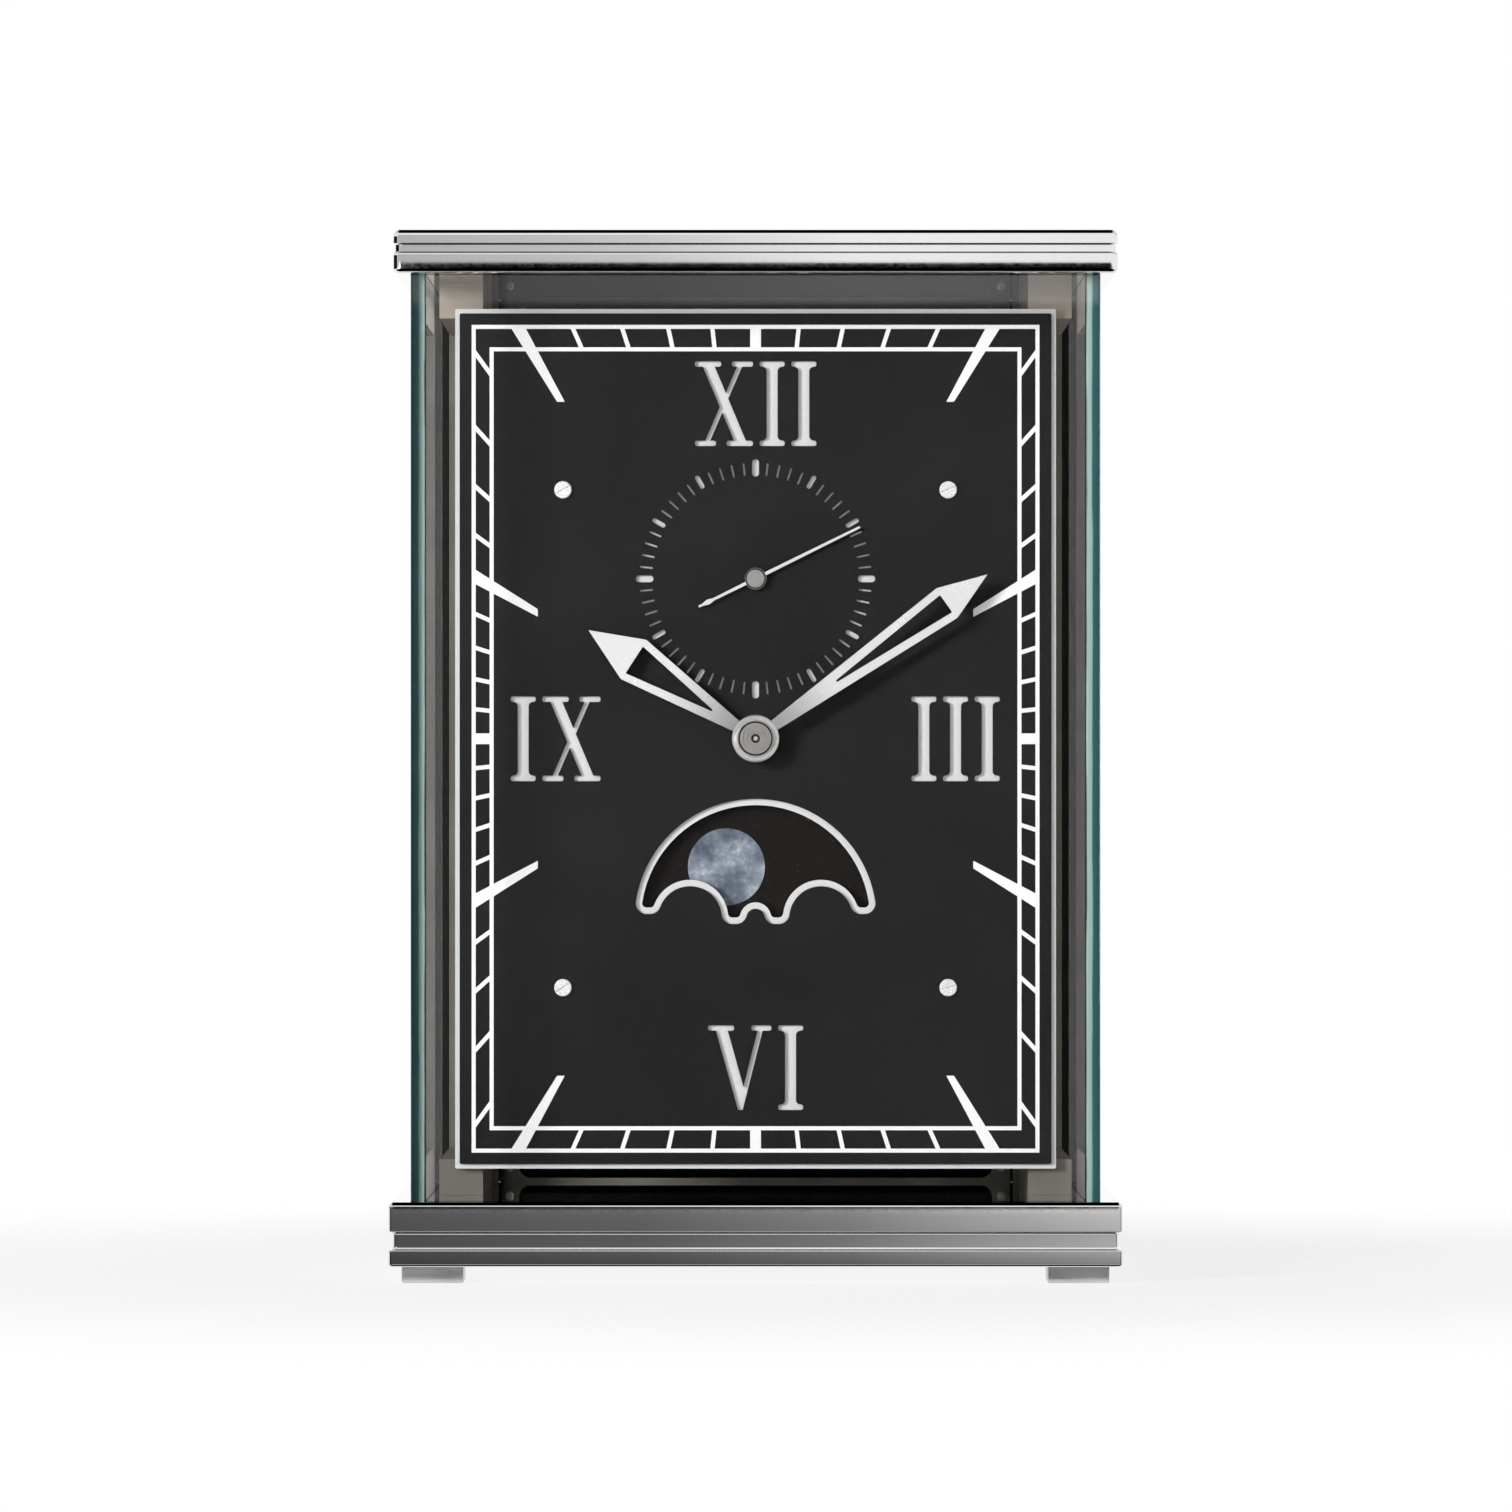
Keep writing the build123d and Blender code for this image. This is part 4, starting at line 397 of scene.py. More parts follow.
def metal_finish(name, tones, roughness, fineness, depth, size, stretch=(1, 1, 1), metallic=1.0):
    """A metal with grain, a slightly wandering tone and handling marks."""
    finish, tree, shader = new_finish(name, {"Metallic": metallic})
    grain = effect_mask(tree, "grain", Fineness=fineness, Stretch=stretch)
    handling = effect_mask(tree, "handling", Size=size)
    two_toned(tree, shader, handling, *tones)
    grain_share = 0.65
    marks = ranged(tree, handling, 0.0, 0.35)
    wear = math_of(tree, "MULTIPLY_ADD", grain, grain_share, marks)
    roughened(tree, shader, wear, *roughness)
    relief(tree, shader, grain, depth)
    return finish


def turned_finish(name, tones, roughness, axis, depth):
    """A metal turned on a lathe about one axis."""
    finish, tree, shader = new_finish(name, {"Metallic": 1.0})
    rings = effect_mask(tree, "turning", Axis=(axis[0], 0, axis[1]))
    two_toned(tree, shader, effect_mask(tree, "handling", Size=120.0), *tones)
    roughened(tree, shader, rings, *roughness)
    relief(tree, shader, rings, depth)
    return finish


# Finishes of this clock


def polished_nickel():
    """Cap and base: mirror-polished, with the faintest wiping marks."""
    return metal_finish("polished_nickel", ((0.80, 0.80, 0.80), (0.84, 0.84, 0.83)), (0.015, 0.045),
                        700.0, 0.0001 * MM, 14.0)


def brushed_steel():
    """Feet and catch: brushed level all round."""
    return metal_finish("brushed_steel", ((0.60, 0.60, 0.60), (0.68, 0.68, 0.67)), (0.22, 0.42),
                        1.0, 0.006 * MM, 60.0, stretch=(60, 60, 2600))


def polished_steel():
    """Arbors, pinions and most screws."""
    return metal_finish("polished_steel", ((0.70, 0.70, 0.71), (0.78, 0.78, 0.79)), (0.10, 0.22),
                        2500.0, 0.001 * MM, 150.0)


def screw_steel():
    """Dial screws: ground flat and bright."""
    return metal_finish("screw_steel", ((0.90, 0.90, 0.90), (0.96, 0.96, 0.95)), (0.2, 0.34),
                        1.0, 0.001 * MM, 150.0, stretch=(2200, 400, 2200), metallic=0.4)


def satin_alloy(name, first, second):
    """Posts, rails and door frame: warm grey, blasted matt."""
    finish, tree, shader = new_finish(name, {"Metallic": 0.2, "Specular IOR Level": 0.25})
    grain = effect_mask(tree, "grain", Fineness=3500.0)
    two_toned(tree, shader, effect_mask(tree, "handling", Size=45.0), first, second)
    roughened(tree, shader, grain, 0.42, 0.6)
    relief(tree, shader, grain, 0.004 * MM)
    return finish


def hand_metal():
    """Hands: satin faces, with painted shade that greys them towards the hub."""
    finish = metal_finish("hand_metal", ((0.93, 0.93, 0.93), (0.97, 0.97, 0.96)), (0.25, 0.28),
                          3000.0, 0.0002 * MM, 60.0, metallic=0.5)
    tree = finish.node_tree
    colour = tree.nodes["Principled BSDF"].inputs["Base Color"]
    away = distance_from_axis(tree, (hands_centre[0], 0, hands_centre[1]))
    # Painted shade: the hands' colour darkens from the tips in towards the hub.
    hub_shade_tone = 0.42
    hub_shade_reach = (4 * MM, 30 * MM)
    painted_hub_shade = ranged(tree, away, hub_shade_tone, 1.0, *hub_shade_reach, "SMOOTHSTEP")
    tree.links.new(scaled(tree, colour.links[0].from_socket, painted_hub_shade), colour)
    return finish


def seconds_metal():
    """Seconds hand: satin all over."""
    return metal_finish("seconds_metal", ((0.92, 0.92, 0.92), (0.97, 0.97, 0.96)), (0.23, 0.27),
                        3000.0, 0.0002 * MM, 60.0, metallic=0.5)


def dial_silver():
    """Rear dial plate: fine blasted silver."""
    finish, tree, shader = new_finish("dial_silver", {"Metallic": 0.35})
    grain = effect_mask(tree, "grain", Fineness=4200.0)
    two_toned(tree, shader, grain, (0.72, 0.72, 0.72), (0.83, 0.83, 0.83))
    roughened(tree, shader, grain, 0.38, 0.5)
    relief(tree, shader, grain, 0.004 * MM)
    return finish


def dial_black():
    """Front dial plate: black lacquer, rubbed matt."""
    finish, tree, shader = new_finish("dial_black", {"Specular IOR Level": 0.08})
    grain = effect_mask(tree, "grain", Fineness=5200.0)
    handling = effect_mask(tree, "handling", Size=16.0)
    two_toned(tree, shader, handling, (0.0145, 0.0145, 0.0145), (0.0185, 0.0185, 0.0185))
    roughened(tree, shader, grain, 0.26, 0.36)
    relief(tree, shader, grain, 0.001 * MM)
    return finish


def dial_print():
    """Minute track: white ink, a little uneven."""
    finish, tree, shader = new_finish("dial_print", {"Roughness": 0.5})
    ink = effect_mask(tree, "grain", Fineness=2600.0)
    two_toned(tree, shader, ink, (0.78, 0.78, 0.78), (0.92, 0.92, 0.92))
    relief(tree, shader, ink, 0.004 * MM)
    return finish


def polished_brass():
    """Wheels, pillars and balance."""
    return metal_finish("polished_brass", ((0.74, 0.54, 0.25), (0.84, 0.64, 0.33)), (0.14, 0.30),
                        1500.0, 0.0015 * MM, 50.0)


def gilt_brass():
    """Movement plates, bridge and cock: gilded over upright brushing."""
    return metal_finish("gilt_brass", ((0.70, 0.53, 0.27), (0.80, 0.62, 0.34)), (0.26, 0.42),
                        1.0, 0.003 * MM, 40.0, stretch=(900, 900, 60))


def spring_steel():
    """Blued spring steel."""
    return metal_finish("spring_steel", ((0.10, 0.14, 0.30), (0.20, 0.26, 0.44)), (0.18, 0.3),
                        1500.0, 0.001 * MM, 90.0)


def ruby():
    """Pivot jewels."""
    finish, tree, shader = new_finish("ruby", {"Roughness": 0.08, "Coat Weight": 0.6})
    two_toned(tree, shader, effect_mask(tree, "handling", Size=700.0), (0.36, 0.01, 0.03),
              (0.55, 0.03, 0.08))
    return finish


def painted_gap_shade():
    """Painted shade: near-black steel on the faces deep in the gaps of the hands' boss and the collar."""
    return metal_finish("painted_gap_shade", ((0.03, 0.03, 0.03), (0.06, 0.058, 0.055)), (0.35, 0.55),
                        1500.0, 0.002 * MM, 200.0)


def near_black_gap_shade():
    """Near-black strips with a fine nap: painted shade in the gaps by the posts."""
    finish, tree, shader = new_finish("near_black_gap_shade", {"Roughness": 0.9, "Specular IOR Level": 0.05})
    nap = effect_mask(tree, "grain", Fineness=2400.0)
    two_toned(tree, shader, nap, (0.010, 0.010, 0.0095), (0.028, 0.028, 0.026))
    relief(tree, shader, nap, 0.05 * MM)
    return finish


def see_through(name, tint):
    """Glass that lets lamps through to what is behind it."""
    finish, tree, shader = new_finish(name, {"Transmission Weight": 1.0, "IOR": 1.5,
                                             "Base Color": (*tint, 1)})
    roughened(tree, shader, effect_mask(tree, "handling", Size=22.0), 0.0, 0.012)
    path = add_node(tree, "ShaderNodeLightPath")
    clear = add_node(tree, "ShaderNodeBsdfTransparent", None, {"Color": (*tint, 1)})
    surface_mix(tree, path.outputs["Is Shadow Ray"], shader.outputs["BSDF"], clear.outputs["BSDF"])
    return finish


def ground_edge(name, side):
    """The polished edge of a pane: its teal tint, with dark outer and pale inner bands of painted light
    and reflection, as deep glass shows them.
    """
    finish, tree, shader = new_finish(name, {"Roughness": 0.3, "Specular IOR Level": 0.3})
    outer = side * pane_outer_x
    inner = outer - side * pane_thickness
    axes = add_node(tree, "ShaderNodeSeparateXYZ", None, {"Vector": object_place(tree)})
    across = ranged(tree, axes.outputs["X"], 0.0, 1.0, outer, inner)
    streaks = effect_mask(tree, "grain", Fineness=1.0, Stretch=(900, 900, 28))
    streak_share = 0.10
    shifted = math_of(tree, "MULTIPLY_ADD", streaks, streak_share, across)
    # Teal tones of the glass, with painted bands of the light and reflection seen through its depth.
    stops = ((0.0, (0.05, 0.17, 0.17)), (0.10, (0.02, 0.085, 0.095)), (0.52, (0.025, 0.10, 0.11)),
             (0.60, (0.25, 0.38, 0.35)), (0.90, (0.34, 0.47, 0.44)), (0.98, (0.02, 0.05, 0.05)))
    tree.links.new(ramped(tree, shifted, stops), shader.inputs["Base Color"])
    return finish


def painted_sky():
    """Moon disc: a night sky, brown-black with faint specks."""
    finish, tree, shader = new_finish("painted_sky", {"Roughness": 0.5, "Specular IOR Level": 0.12})
    specks = add_node(tree, "ShaderNodeTexVoronoi", None,
                      {"Vector": object_place(tree), "Scale": 700.0})
    bright = ranged(tree, specks.outputs["Distance"], 0.0, 1.0, 0.12, 0.05)
    fewer = math_of(tree, "MULTIPLY", bright, effect_mask(tree, "handling", Size=160.0))
    two_toned(tree, shader, fewer, (0.011, 0.009, 0.008), (0.16, 0.15, 0.14))
    return finish


def painted_moon():
    """Moons: grey seas, pale uplands and small pits."""
    finish, tree, shader = new_finish("painted_moon", {"Roughness": 0.6, "Specular IOR Level": 0.15})
    place = object_place(tree)
    seas = add_node(tree, "ShaderNodeTexNoise", None,
                    {"Vector": place, "Scale": 130.0, "Detail": 5.0, "Roughness": 0.6})
    pits = add_node(tree, "ShaderNodeTexVoronoi", None, {"Vector": place, "Scale": 620.0})
    tones = ramped(tree, seas.outputs["Fac"],
                   ((0.34, (0.085, 0.10, 0.135)), (0.46, (0.15, 0.175, 0.22)),
                    (0.57, (0.25, 0.28, 0.33)), (0.68, (0.46, 0.49, 0.53))))
    spots = ranged(tree, pits.outputs["Distance"], 1.25, 0.9, 0.0, 0.5)
    tree.links.new(scaled(tree, tones, spots), shader.inputs["Base Color"])
    relief(tree, shader, seas.outputs["Fac"], 0.02 * MM)
    return finish


finishes = {
    "polished_nickel": polished_nickel(), "brushed_steel": brushed_steel(),
    "polished_steel": polished_steel(), "screw_steel": screw_steel(),
    "satin_alloy": satin_alloy("satin_alloy", (0.165, 0.152, 0.132), (0.205, 0.19, 0.168)),
    # The upper rails' copy of the alloy is lighter: painted light that makes up for the cap's shadow on
    # them.
    "upper_rail_painted_light": satin_alloy("upper_rail_painted_light", (0.36, 0.315, 0.265), (0.43, 0.375, 0.32)),
    "hand_metal": hand_metal(), "seconds_metal": seconds_metal(),
    "dial_silver": dial_silver(), "dial_black": dial_black(), "dial_print": dial_print(),
    "brass": polished_brass(), "gilt_brass": gilt_brass(), "spring_steel": spring_steel(),
    "ruby": ruby(), "near_black_gap_shade": near_black_gap_shade(), "painted_gap_shade": painted_gap_shade(),
    "turned_nut": turned_finish("turned_nut", ((0.44, 0.42, 0.385), (0.52, 0.50, 0.46)), (0.30, 0.5),
                                hands_centre, 0.007 * MM),
    "turned_boss": turned_finish("turned_boss", ((0.66, 0.66, 0.65), (0.76, 0.76, 0.75)), (0.22, 0.34),
                                 hands_centre, 0.003 * MM),
    "turned_cap": turned_finish("turned_cap", ((0.60, 0.57, 0.55), (0.70, 0.67, 0.65)), (0.2, 0.42),
                                seconds_centre, 0.006 * MM),
    "clear_glass": see_through("clear_glass", (0.985, 0.99, 0.987)),
    "smoked_glass": see_through("smoked_glass", (0.022, 0.021, 0.02)),
    "left_edge": ground_edge("left_ground_edge", -1),
    "right_edge": ground_edge("right_ground_edge", 1),
    "painted_sky": painted_sky(), "painted_moon": painted_moon(),
}


# Case


def inset_from_side(point, width, depth, corner):
    """How far a point lies inside a block's outline with rounded corners, seen from above."""
    over_x = abs(point[0]) - width / 2 + corner
    over_y = abs(point[1]) - depth / 2 + corner
    if over_x > 0 and over_y > 0:
        return corner - math.hypot(over_x, over_y)
    return min(width / 2 - abs(point[0]), depth / 2 - abs(point[1]))


def inset_all_round(width, depth, inset):
    """Draws what is picked inwards by the same inset on all four sides."""
    bpy.ops.transform.resize(value=(1 - 2 * inset / width, 1 - 2 * inset / depth, 1))


def slice_level(height):
    """Cuts the open piece's faces at a height, all round."""
    bpy.ops.mesh.select_all(action="SELECT")
    bpy.ops.mesh.bisect(plane_co=(0, 0, height), plane_no=(0, 0, 1))


def grooved_block(name, low, high, corner, rolls, groove, groove_depth, cove, lip, lower_roll=0.0):
    """A block with rounded corners, eased top and bottom edges, and a coved groove all round.

    With a lower roll, the face below the groove curves in to meet it.
    """
    width = high[0] - low[0]
    depth = high[1] - low[1]

    def inset_of(point):
        return inset_from_side(point, width, depth, corner)

    piece = new_block(name, low, high)
    open_piece(piece)
    pick_upright_edges(piece)
    round_picked(corner, 8)
    for height in groove:
        slice_level(height)
    pick(piece, "FACE", lambda face: groove[0] < face.calc_center_median().z < groove[1]
         and abs(face.normal.z) < 0.5)
    bpy.ops.mesh.extrude_region_move(TRANSFORM_OT_translate={"value": (0, 0, 0)})
    inset_all_round(width, depth, groove_depth)
    for height, (roll, segments) in ((high[2], rolls[0]), (low[2], rolls[1])):
        pick_level_edges(piece, height, lambda point: inset_of(point) < side_slack)
        round_picked(roll, segments)
    for height in groove[1:] if lower_roll else groove:
        pick_level_edges(piece, height, lambda point: inset_of(point) > groove_depth / 2)
        round_picked(cove, 6)
        pick_level_edges(piece, height, lambda point: inset_of(point) < groove_depth / 2)
        round_picked(lip, 5)
    if lower_roll:
        # The curve ends just short of the groove's own depth.
        curve_share = 0.98
        steps = 8
        last = math.acos(1 - curve_share * groove_depth / lower_roll)
        foot = groove[0] - lower_roll * math.sin(last)
        turns = [last * step / steps for step in range(steps + 1)]
        for turn in turns[:-1]:
            slice_level(foot + lower_roll * math.sin(turn))
        for turn in turns[1:]:
            pick_level_edges(piece, foot + lower_roll * math.sin(turn),
                             lambda point: inset_of(point) < side_slack)
            inset_all_round(width, depth, lower_roll * (1 - math.cos(turn)))
    close_piece()
    return piece


def mill_pane_grooves(piece, z_range):
    """The grooves that seat the three panes."""
    half_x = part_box("front_glass")[1].x
    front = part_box("front_glass")[0].y
    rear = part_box("left_glass")[1].y
    gap = pane_groove_gap
    inner = half_x - pane_thickness
    mill(piece, (-half_x - gap, front - gap, z_range[0]),
         (half_x + gap, front + pane_thickness + gap, z_range[1]))
    for side in (-1, 1):
        x_ends = sorted((side * (inner - gap), side * (half_x + gap)))
        mill(piece, (x_ends[0], front + pane_thickness, z_range[0]), (x_ends[1], rear + gap, z_range[1]))


def case_screw_places():
    """Where the screws enter the base from below."""
    rail_low, rail_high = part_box("lower_rails")
    post_low, post_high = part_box("left_post")
    rail_ends = (rail_low.y + rail_screw_inset, rail_high.y - rail_screw_inset)
    places = [(side * rail_screw_x, y) for side in (-1, 1) for y in rail_ends]
    return places + [(side * post_screw_x, (post_low.y + post_high.y) / 2) for side in (-1, 1)]


def make_base():
    """The base block, with its coved groove, pane grooves and the rear step for the door."""
    low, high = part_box("base_block")
    edges = ((base_top_chamfer, 1), (base_bottom_roll, 7))
    piece = grooved_block("base", low, high, base_corner, edges, base_groove, base_groove_depth,
                          base_cove, base_lip)
    open_piece(piece)
    pick_level_edges(piece, high.z - base_top_chamfer)
    round_picked(base_chamfer_ease, 4)
    close_piece()
    mill_pane_grooves(piece, (high.z - pane_groove_depth, high.z + cut_overrun))
    mill(piece, (-door_step_x, door_step_y, high.z - door_step_depth),
         (door_step_x, high.y + cut_overrun, high.z + cut_overrun))
    radius, depth = case_screw_seat
    for x, y in case_screw_places():
        drill(piece, x, y, (low.z - cut_overrun, low.z + depth), radius)
    smooth(piece)
    paint(piece, finishes["polished_nickel"])
    return fit(piece, "case", "polished_nickel", "base_block")


def make_cap():
    """The cap block, with its shallow groove and the rear step for the door."""
    low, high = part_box("cap_block")
    edges = ((cap_top_roll, 9), (cap_bottom_roll, 7))
    piece = grooved_block("cap", low, high, cap_corner, edges, cap_groove, cap_groove_depth, cap_cove,
                          cap_lip, cap_roll_radius)
    mill_pane_grooves(piece, (low.z - cut_overrun, low.z + pane_groove_depth))
    mill(piece, (-door_step_x, door_step_y, low.z - cut_overrun),
         (door_step_x, high.y + cut_overrun, low.z + door_step_depth))
    smooth(piece)
    paint(piece, finishes["polished_nickel"])
    return fit(piece, "case", "polished_nickel", "cap_block")


def make_feet():
    """Four brushed feet with eased edges, modelled once and copied."""
    low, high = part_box("feet")
    size = foot_size
    first = new_block("feet", (low.x, low.y, low.z), (low.x + size, low.y + size, high.z))
    open_piece(first)
    pick_level_edges(first, low.z)
    round_picked(foot_sole_edge, 4)
    pick_upright_edges(first)
    round_picked(foot_edge, 3)
    close_piece()
    radius, depth = foot_screw_seat
    drill(first, low.x + size / 2, low.y + size / 2, (low.z - cut_overrun, low.z + depth), radius)
    reach_x = high.x - low.x - size
    reach_y = high.y - low.y - size
    copies = [copy_piece(first, (x, y, 0)) for x in (0, reach_x) for y in (0, reach_y) if x or y]
    piece = join_pieces(first, copies)
    smooth(piece)
    paint(piece, finishes["brushed_steel"])
    return fit(piece, "case", "brushed_steel", "feet")


def copy_piece(piece, shift):
    """A copy with its own mesh, moved in its mesh."""
    made = add_object(piece.name + "_copy", piece.data.copy())
    made.data.transform(Matrix.Translation(Vector(shift)))
    return made


def join_pieces(piece, others):
    """One object from several pieces of one kind."""
    deselect_all()
    for other in others:
        other.select_set(True)
    piece.select_set(True)
    bpy.context.view_layer.objects.active = piece
    bpy.ops.object.join()
    return piece


def make_pane(name, node, edge_axis, edge_finish, inset=0.0):
    """A clear pane with chamfered upright edges and coloured ground edges."""
    low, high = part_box(node)
    piece = new_block(name, (low.x, low.y + inset, low.z), high)
    open_piece(piece)
    pick_upright_edges(piece)
    round_picked(pane_chamfer, 1)
    close_piece()
    paint(piece, finishes["clear_glass"], finishes[edge_finish])
    for face in piece.data.polygons:
        if abs(face.normal[edge_axis]) > 0.9 or abs(face.normal[2]) > 0.9:
            face.material_index = 1
    return fit(piece, "case", "clear_glass", node)


# Pieces with eased edges


def eased(node, body, slot, finish, width, segments=2, angle=32):
    """A node's own shape with its sharp edges eased, as a filed and polished piece has."""
    piece = add_object(node + "_eased", nodes[node].data.copy())
    open_piece(piece, "VERT")
    bpy.ops.mesh.select_all(action="SELECT")
    bpy.ops.mesh.remove_doubles(threshold=0.001 * MM)
    bpy.ops.mesh.dissolve_limited(angle_limit=math.radians(0.5))
    close_piece()
    apply_modifier(piece, "BEVEL", width=width, segments=segments, limit_method="ANGLE",
                   angle_limit=math.radians(angle), use_clamp_overlap=True, miter_outer="MITER_ARC")
    smooth(piece, angle)
    paint(piece, finishes[finish])
    return fit(piece, body, slot, node)


def turned(name, centre, rings, sides=96):
    """A piece turned about an axis along Y: rings of (radius, y) in millimetres, from its back."""
    deselect_all()
    radius, level = rings[0]
    bpy.ops.mesh.primitive_circle_add(vertices=sides, radius=radius * MM, fill_type="NGON",
                                      location=(centre[0], level * MM, centre[1]),
                                      rotation=(math.radians(90), 0, 0))
    piece = bpy.context.object
    piece.name = name
    bpy.ops.object.transform_apply(location=True, rotation=True, scale=True)
    open_piece(piece)
    bpy.ops.mesh.select_all(action="SELECT")
    for next_radius, next_level in rings[1:]:
        step = (0, (next_level - level) * MM, 0)
        bpy.ops.mesh.extrude_region_move(TRANSFORM_OT_translate={"value": step})
        bpy.ops.transform.resize(value=(next_radius / radius, 1, next_radius / radius))
        radius, level = next_radius, next_level
    bpy.ops.mesh.select_all(action="SELECT")
    bpy.ops.mesh.normals_make_consistent(inside=False)
    close_piece()
    smooth(piece, 40)
    return piece


def paint_gap_shade(piece, centre, test):
    """Painted shade, as near-black steel, on the faces whose radius and y, in millimetres, pass a test.
    """
    piece.data.materials.append(finishes["painted_gap_shade"])
    for face in piece.data.polygons:
        middle = face.center
        radius = math.hypot(middle.x - centre[0], middle.z - centre[1]) / MM
        if test(radius, middle.y / MM):
            face.material_index = 1


def make_hand_nut():
    """The turned nut of the hands on a thin washer ring, with a hole for the arbor's end; the washer ring
    and the hole carry painted shade.
    """
    rings = [(4.57, -36.8), (4.57, -36.9), (4.22, -36.92), (4.22, -37.96), (4.06, -38.1), (3.3, -38.13),
             (3.22, -38.1), (3.0, -38.1), (2.92, -38.13), (2.1, -38.13), (2.04, -38.11), (1.9, -38.11),
             (1.84, -38.13), (1.32, -38.13), (1.2, -38.04), (1.16, -37.95), (1.16, -37.2), (0.3, -37.2)]
    piece = turned("hand_nut_turned", hands_centre, rings)
    paint(piece, finishes["turned_nut"])
    # Painted shade on the washer ring, on the wall of the hole and on its floor.
    paint_gap_shade(piece, hands_centre, lambda r, y: y > -36.95 or (r < 1.17 and y > -37.9) or r < 0.9)
    return fit(piece, "centre", "hand_metal", "hand_nut")


def make_minute_boss():
    """The domed ring round the nut, on the minute hand."""
    rings = [(6.38, -36.4), (6.38, -36.5), (6.32, -36.7), (6.16, -36.91), (5.9, -37.09), (5.55, -37.21),
             (5.15, -37.27), (4.9, -37.28), (4.68, -37.28), (4.6, -37.2), (4.6, -36.6)]
    piece = turned("minute_boss", hands_centre, rings)
    paint(piece, finishes["turned_boss"])
    # Painted shade on the boss's inner wall round the nut.
    paint_gap_shade(piece, hands_centre, lambda r, y: r < 4.61)
    return fit(piece, "centre", "hand_metal")


def make_centre_pin():
    """The polished domed end of the centre arbor, deep in the nut's hole."""
    rings = [(0.68, -37.3), (0.68, -37.62), (0.64, -37.78), (0.53, -37.92), (0.36, -38.02),
             (0.18, -38.07), (0.04, -38.08)]
    piece = turned("centre_pin", hands_centre, rings, 48)
    paint(piece, finishes["polished_steel"])
    return fit(piece, "centre", "polished_steel")


def make_seconds_hand():
    """The seconds hand, satin, with a turned cap."""
    piece = eased("seconds_hand", "seconds", "hand_metal", "seconds_metal", 0.08 * MM)
    piece.data.materials.append(finishes["turned_cap"])
    for face in piece.data.polygons:
        away = math.hypot(face.center.x - seconds_centre[0], face.center.z - seconds_centre[1])
        if away < seconds_cap_radius and face.center.y < seconds_cap_level:
            face.material_index = 1
    return piece


def make_seconds_collar():
    """The collar round the cap of the seconds hand: a bright rim, with painted shade in the groove inside
    it.
    """
    rings = [(2.92, -31.7), (2.92, -31.98), (2.87, -32.04), (2.79, -32.04), (2.75, -31.9), (2.46, -31.88),
             (2.42, -31.8), (2.42, -31.7)]
    piece = turned("seconds_collar", seconds_centre, rings, 64)
    paint(piece, finishes["turned_cap"])
    # Painted shade in the groove inside the rim.
    paint_gap_shade(piece, seconds_centre, lambda r, y: r < 2.78)
    return fit(piece, "seconds", "hand_metal")


def make_shade_strips():
    """Near-black strips of painted shade in the gaps: between posts and side panes, and on the posts
    where the door meets them.
    """
    post_low, post_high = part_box("right_post")
    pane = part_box("right_glass")[0].x
    z_ends = (post_low.z + strip_end_gap, post_high.z - strip_end_gap)
    strips = {"rear": ((post_high.x + strip_gap, pane - strip_gap),
                       [post_high.y - inset for inset in rear_strip_y]),
              "door": ((post_low.x - door_strip_width, post_low.x - strip_gap),
                       [post_low.y + inset for inset in door_strip_y])}
    for kind, (x_ends, y_ends) in strips.items():
        for side, hand in ((-1, "left"), (1, "right")):
            near_x, far_x = sorted((side * x_ends[0], side * x_ends[1]))
            piece = new_block(hand + "_" + kind + "_shade_strip", (near_x, y_ends[0], z_ends[0]),
                              (far_x, y_ends[1], z_ends[1]))
            open_piece(piece)
            pick_upright_edges(piece)
            round_picked(strip_edge, 3)
            close_piece()
            smooth(piece)
            paint(piece, finishes["near_black_gap_shade"])
            fit(piece, "case", "satin_alloy")


def make_moon_disc():
    """The moon disc: its painted sky, and the moons printed on it."""
    piece = eased("moon_disc", "moon", "moon_paint", "painted_sky", 0.03 * MM, 1)
    piece.data.materials.append(finishes["painted_moon"])
    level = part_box("moon_disc")[0].y
    for face in piece.data.polygons:
        near_front = face.center.y < level + moon_paint_depth
        if near_front and in_a_moon(face.center):
            face.material_index = 1
    return piece


def in_a_moon(point):
    """True over one of the two printed moons."""
    for turn in moon_turns:
        x = moon_centre[0] + moon_orbit * math.cos(math.radians(turn))
        z = moon_centre[1] + moon_orbit * math.sin(math.radians(turn))
        if math.hypot(point.x - x, point.z - z) < moon_radius + moon_slack:
            return True
    return False


# Nodes whose shape stays, with a better finish
plain_nodes = {
    "dial_plate": "dial_black", "minute_track": "dial_print", "dial_back_plate": "dial_silver",
    "foot_screws": "polished_steel", "case_screws": "polished_steel", "door_glass": "smoked_glass",
    "door_screws": "polished_steel", "door_hinge_pins": "polished_steel",
    "door_catch": "brushed_steel", "jewels": "ruby", "mainspring": "spring_steel",
    "hairspring": "spring_steel", "motion_studs": "polished_steel", "barrel_arbor": "polished_steel",
    "click": "polished_steel", "click_screw": "polished_steel", "centre_arbor": "polished_steel",
    "escape_wheel": "polished_steel", "pallet_fork": "polished_steel",
    "cannon_pinion": "polished_steel", "minute_wheel": "brass", "hour_wheel": "brass",
    "moon_transfer_wheel": "brass", "intermediate_wheel": "brass", "centre_wheel": "brass",
    "third_wheel": "brass", "seconds_wheel": "brass", "barrel": "brass", "barrel_lid": "brass",
    "ratchet_wheel": "polished_steel", "bridge_screws": "polished_steel",
}

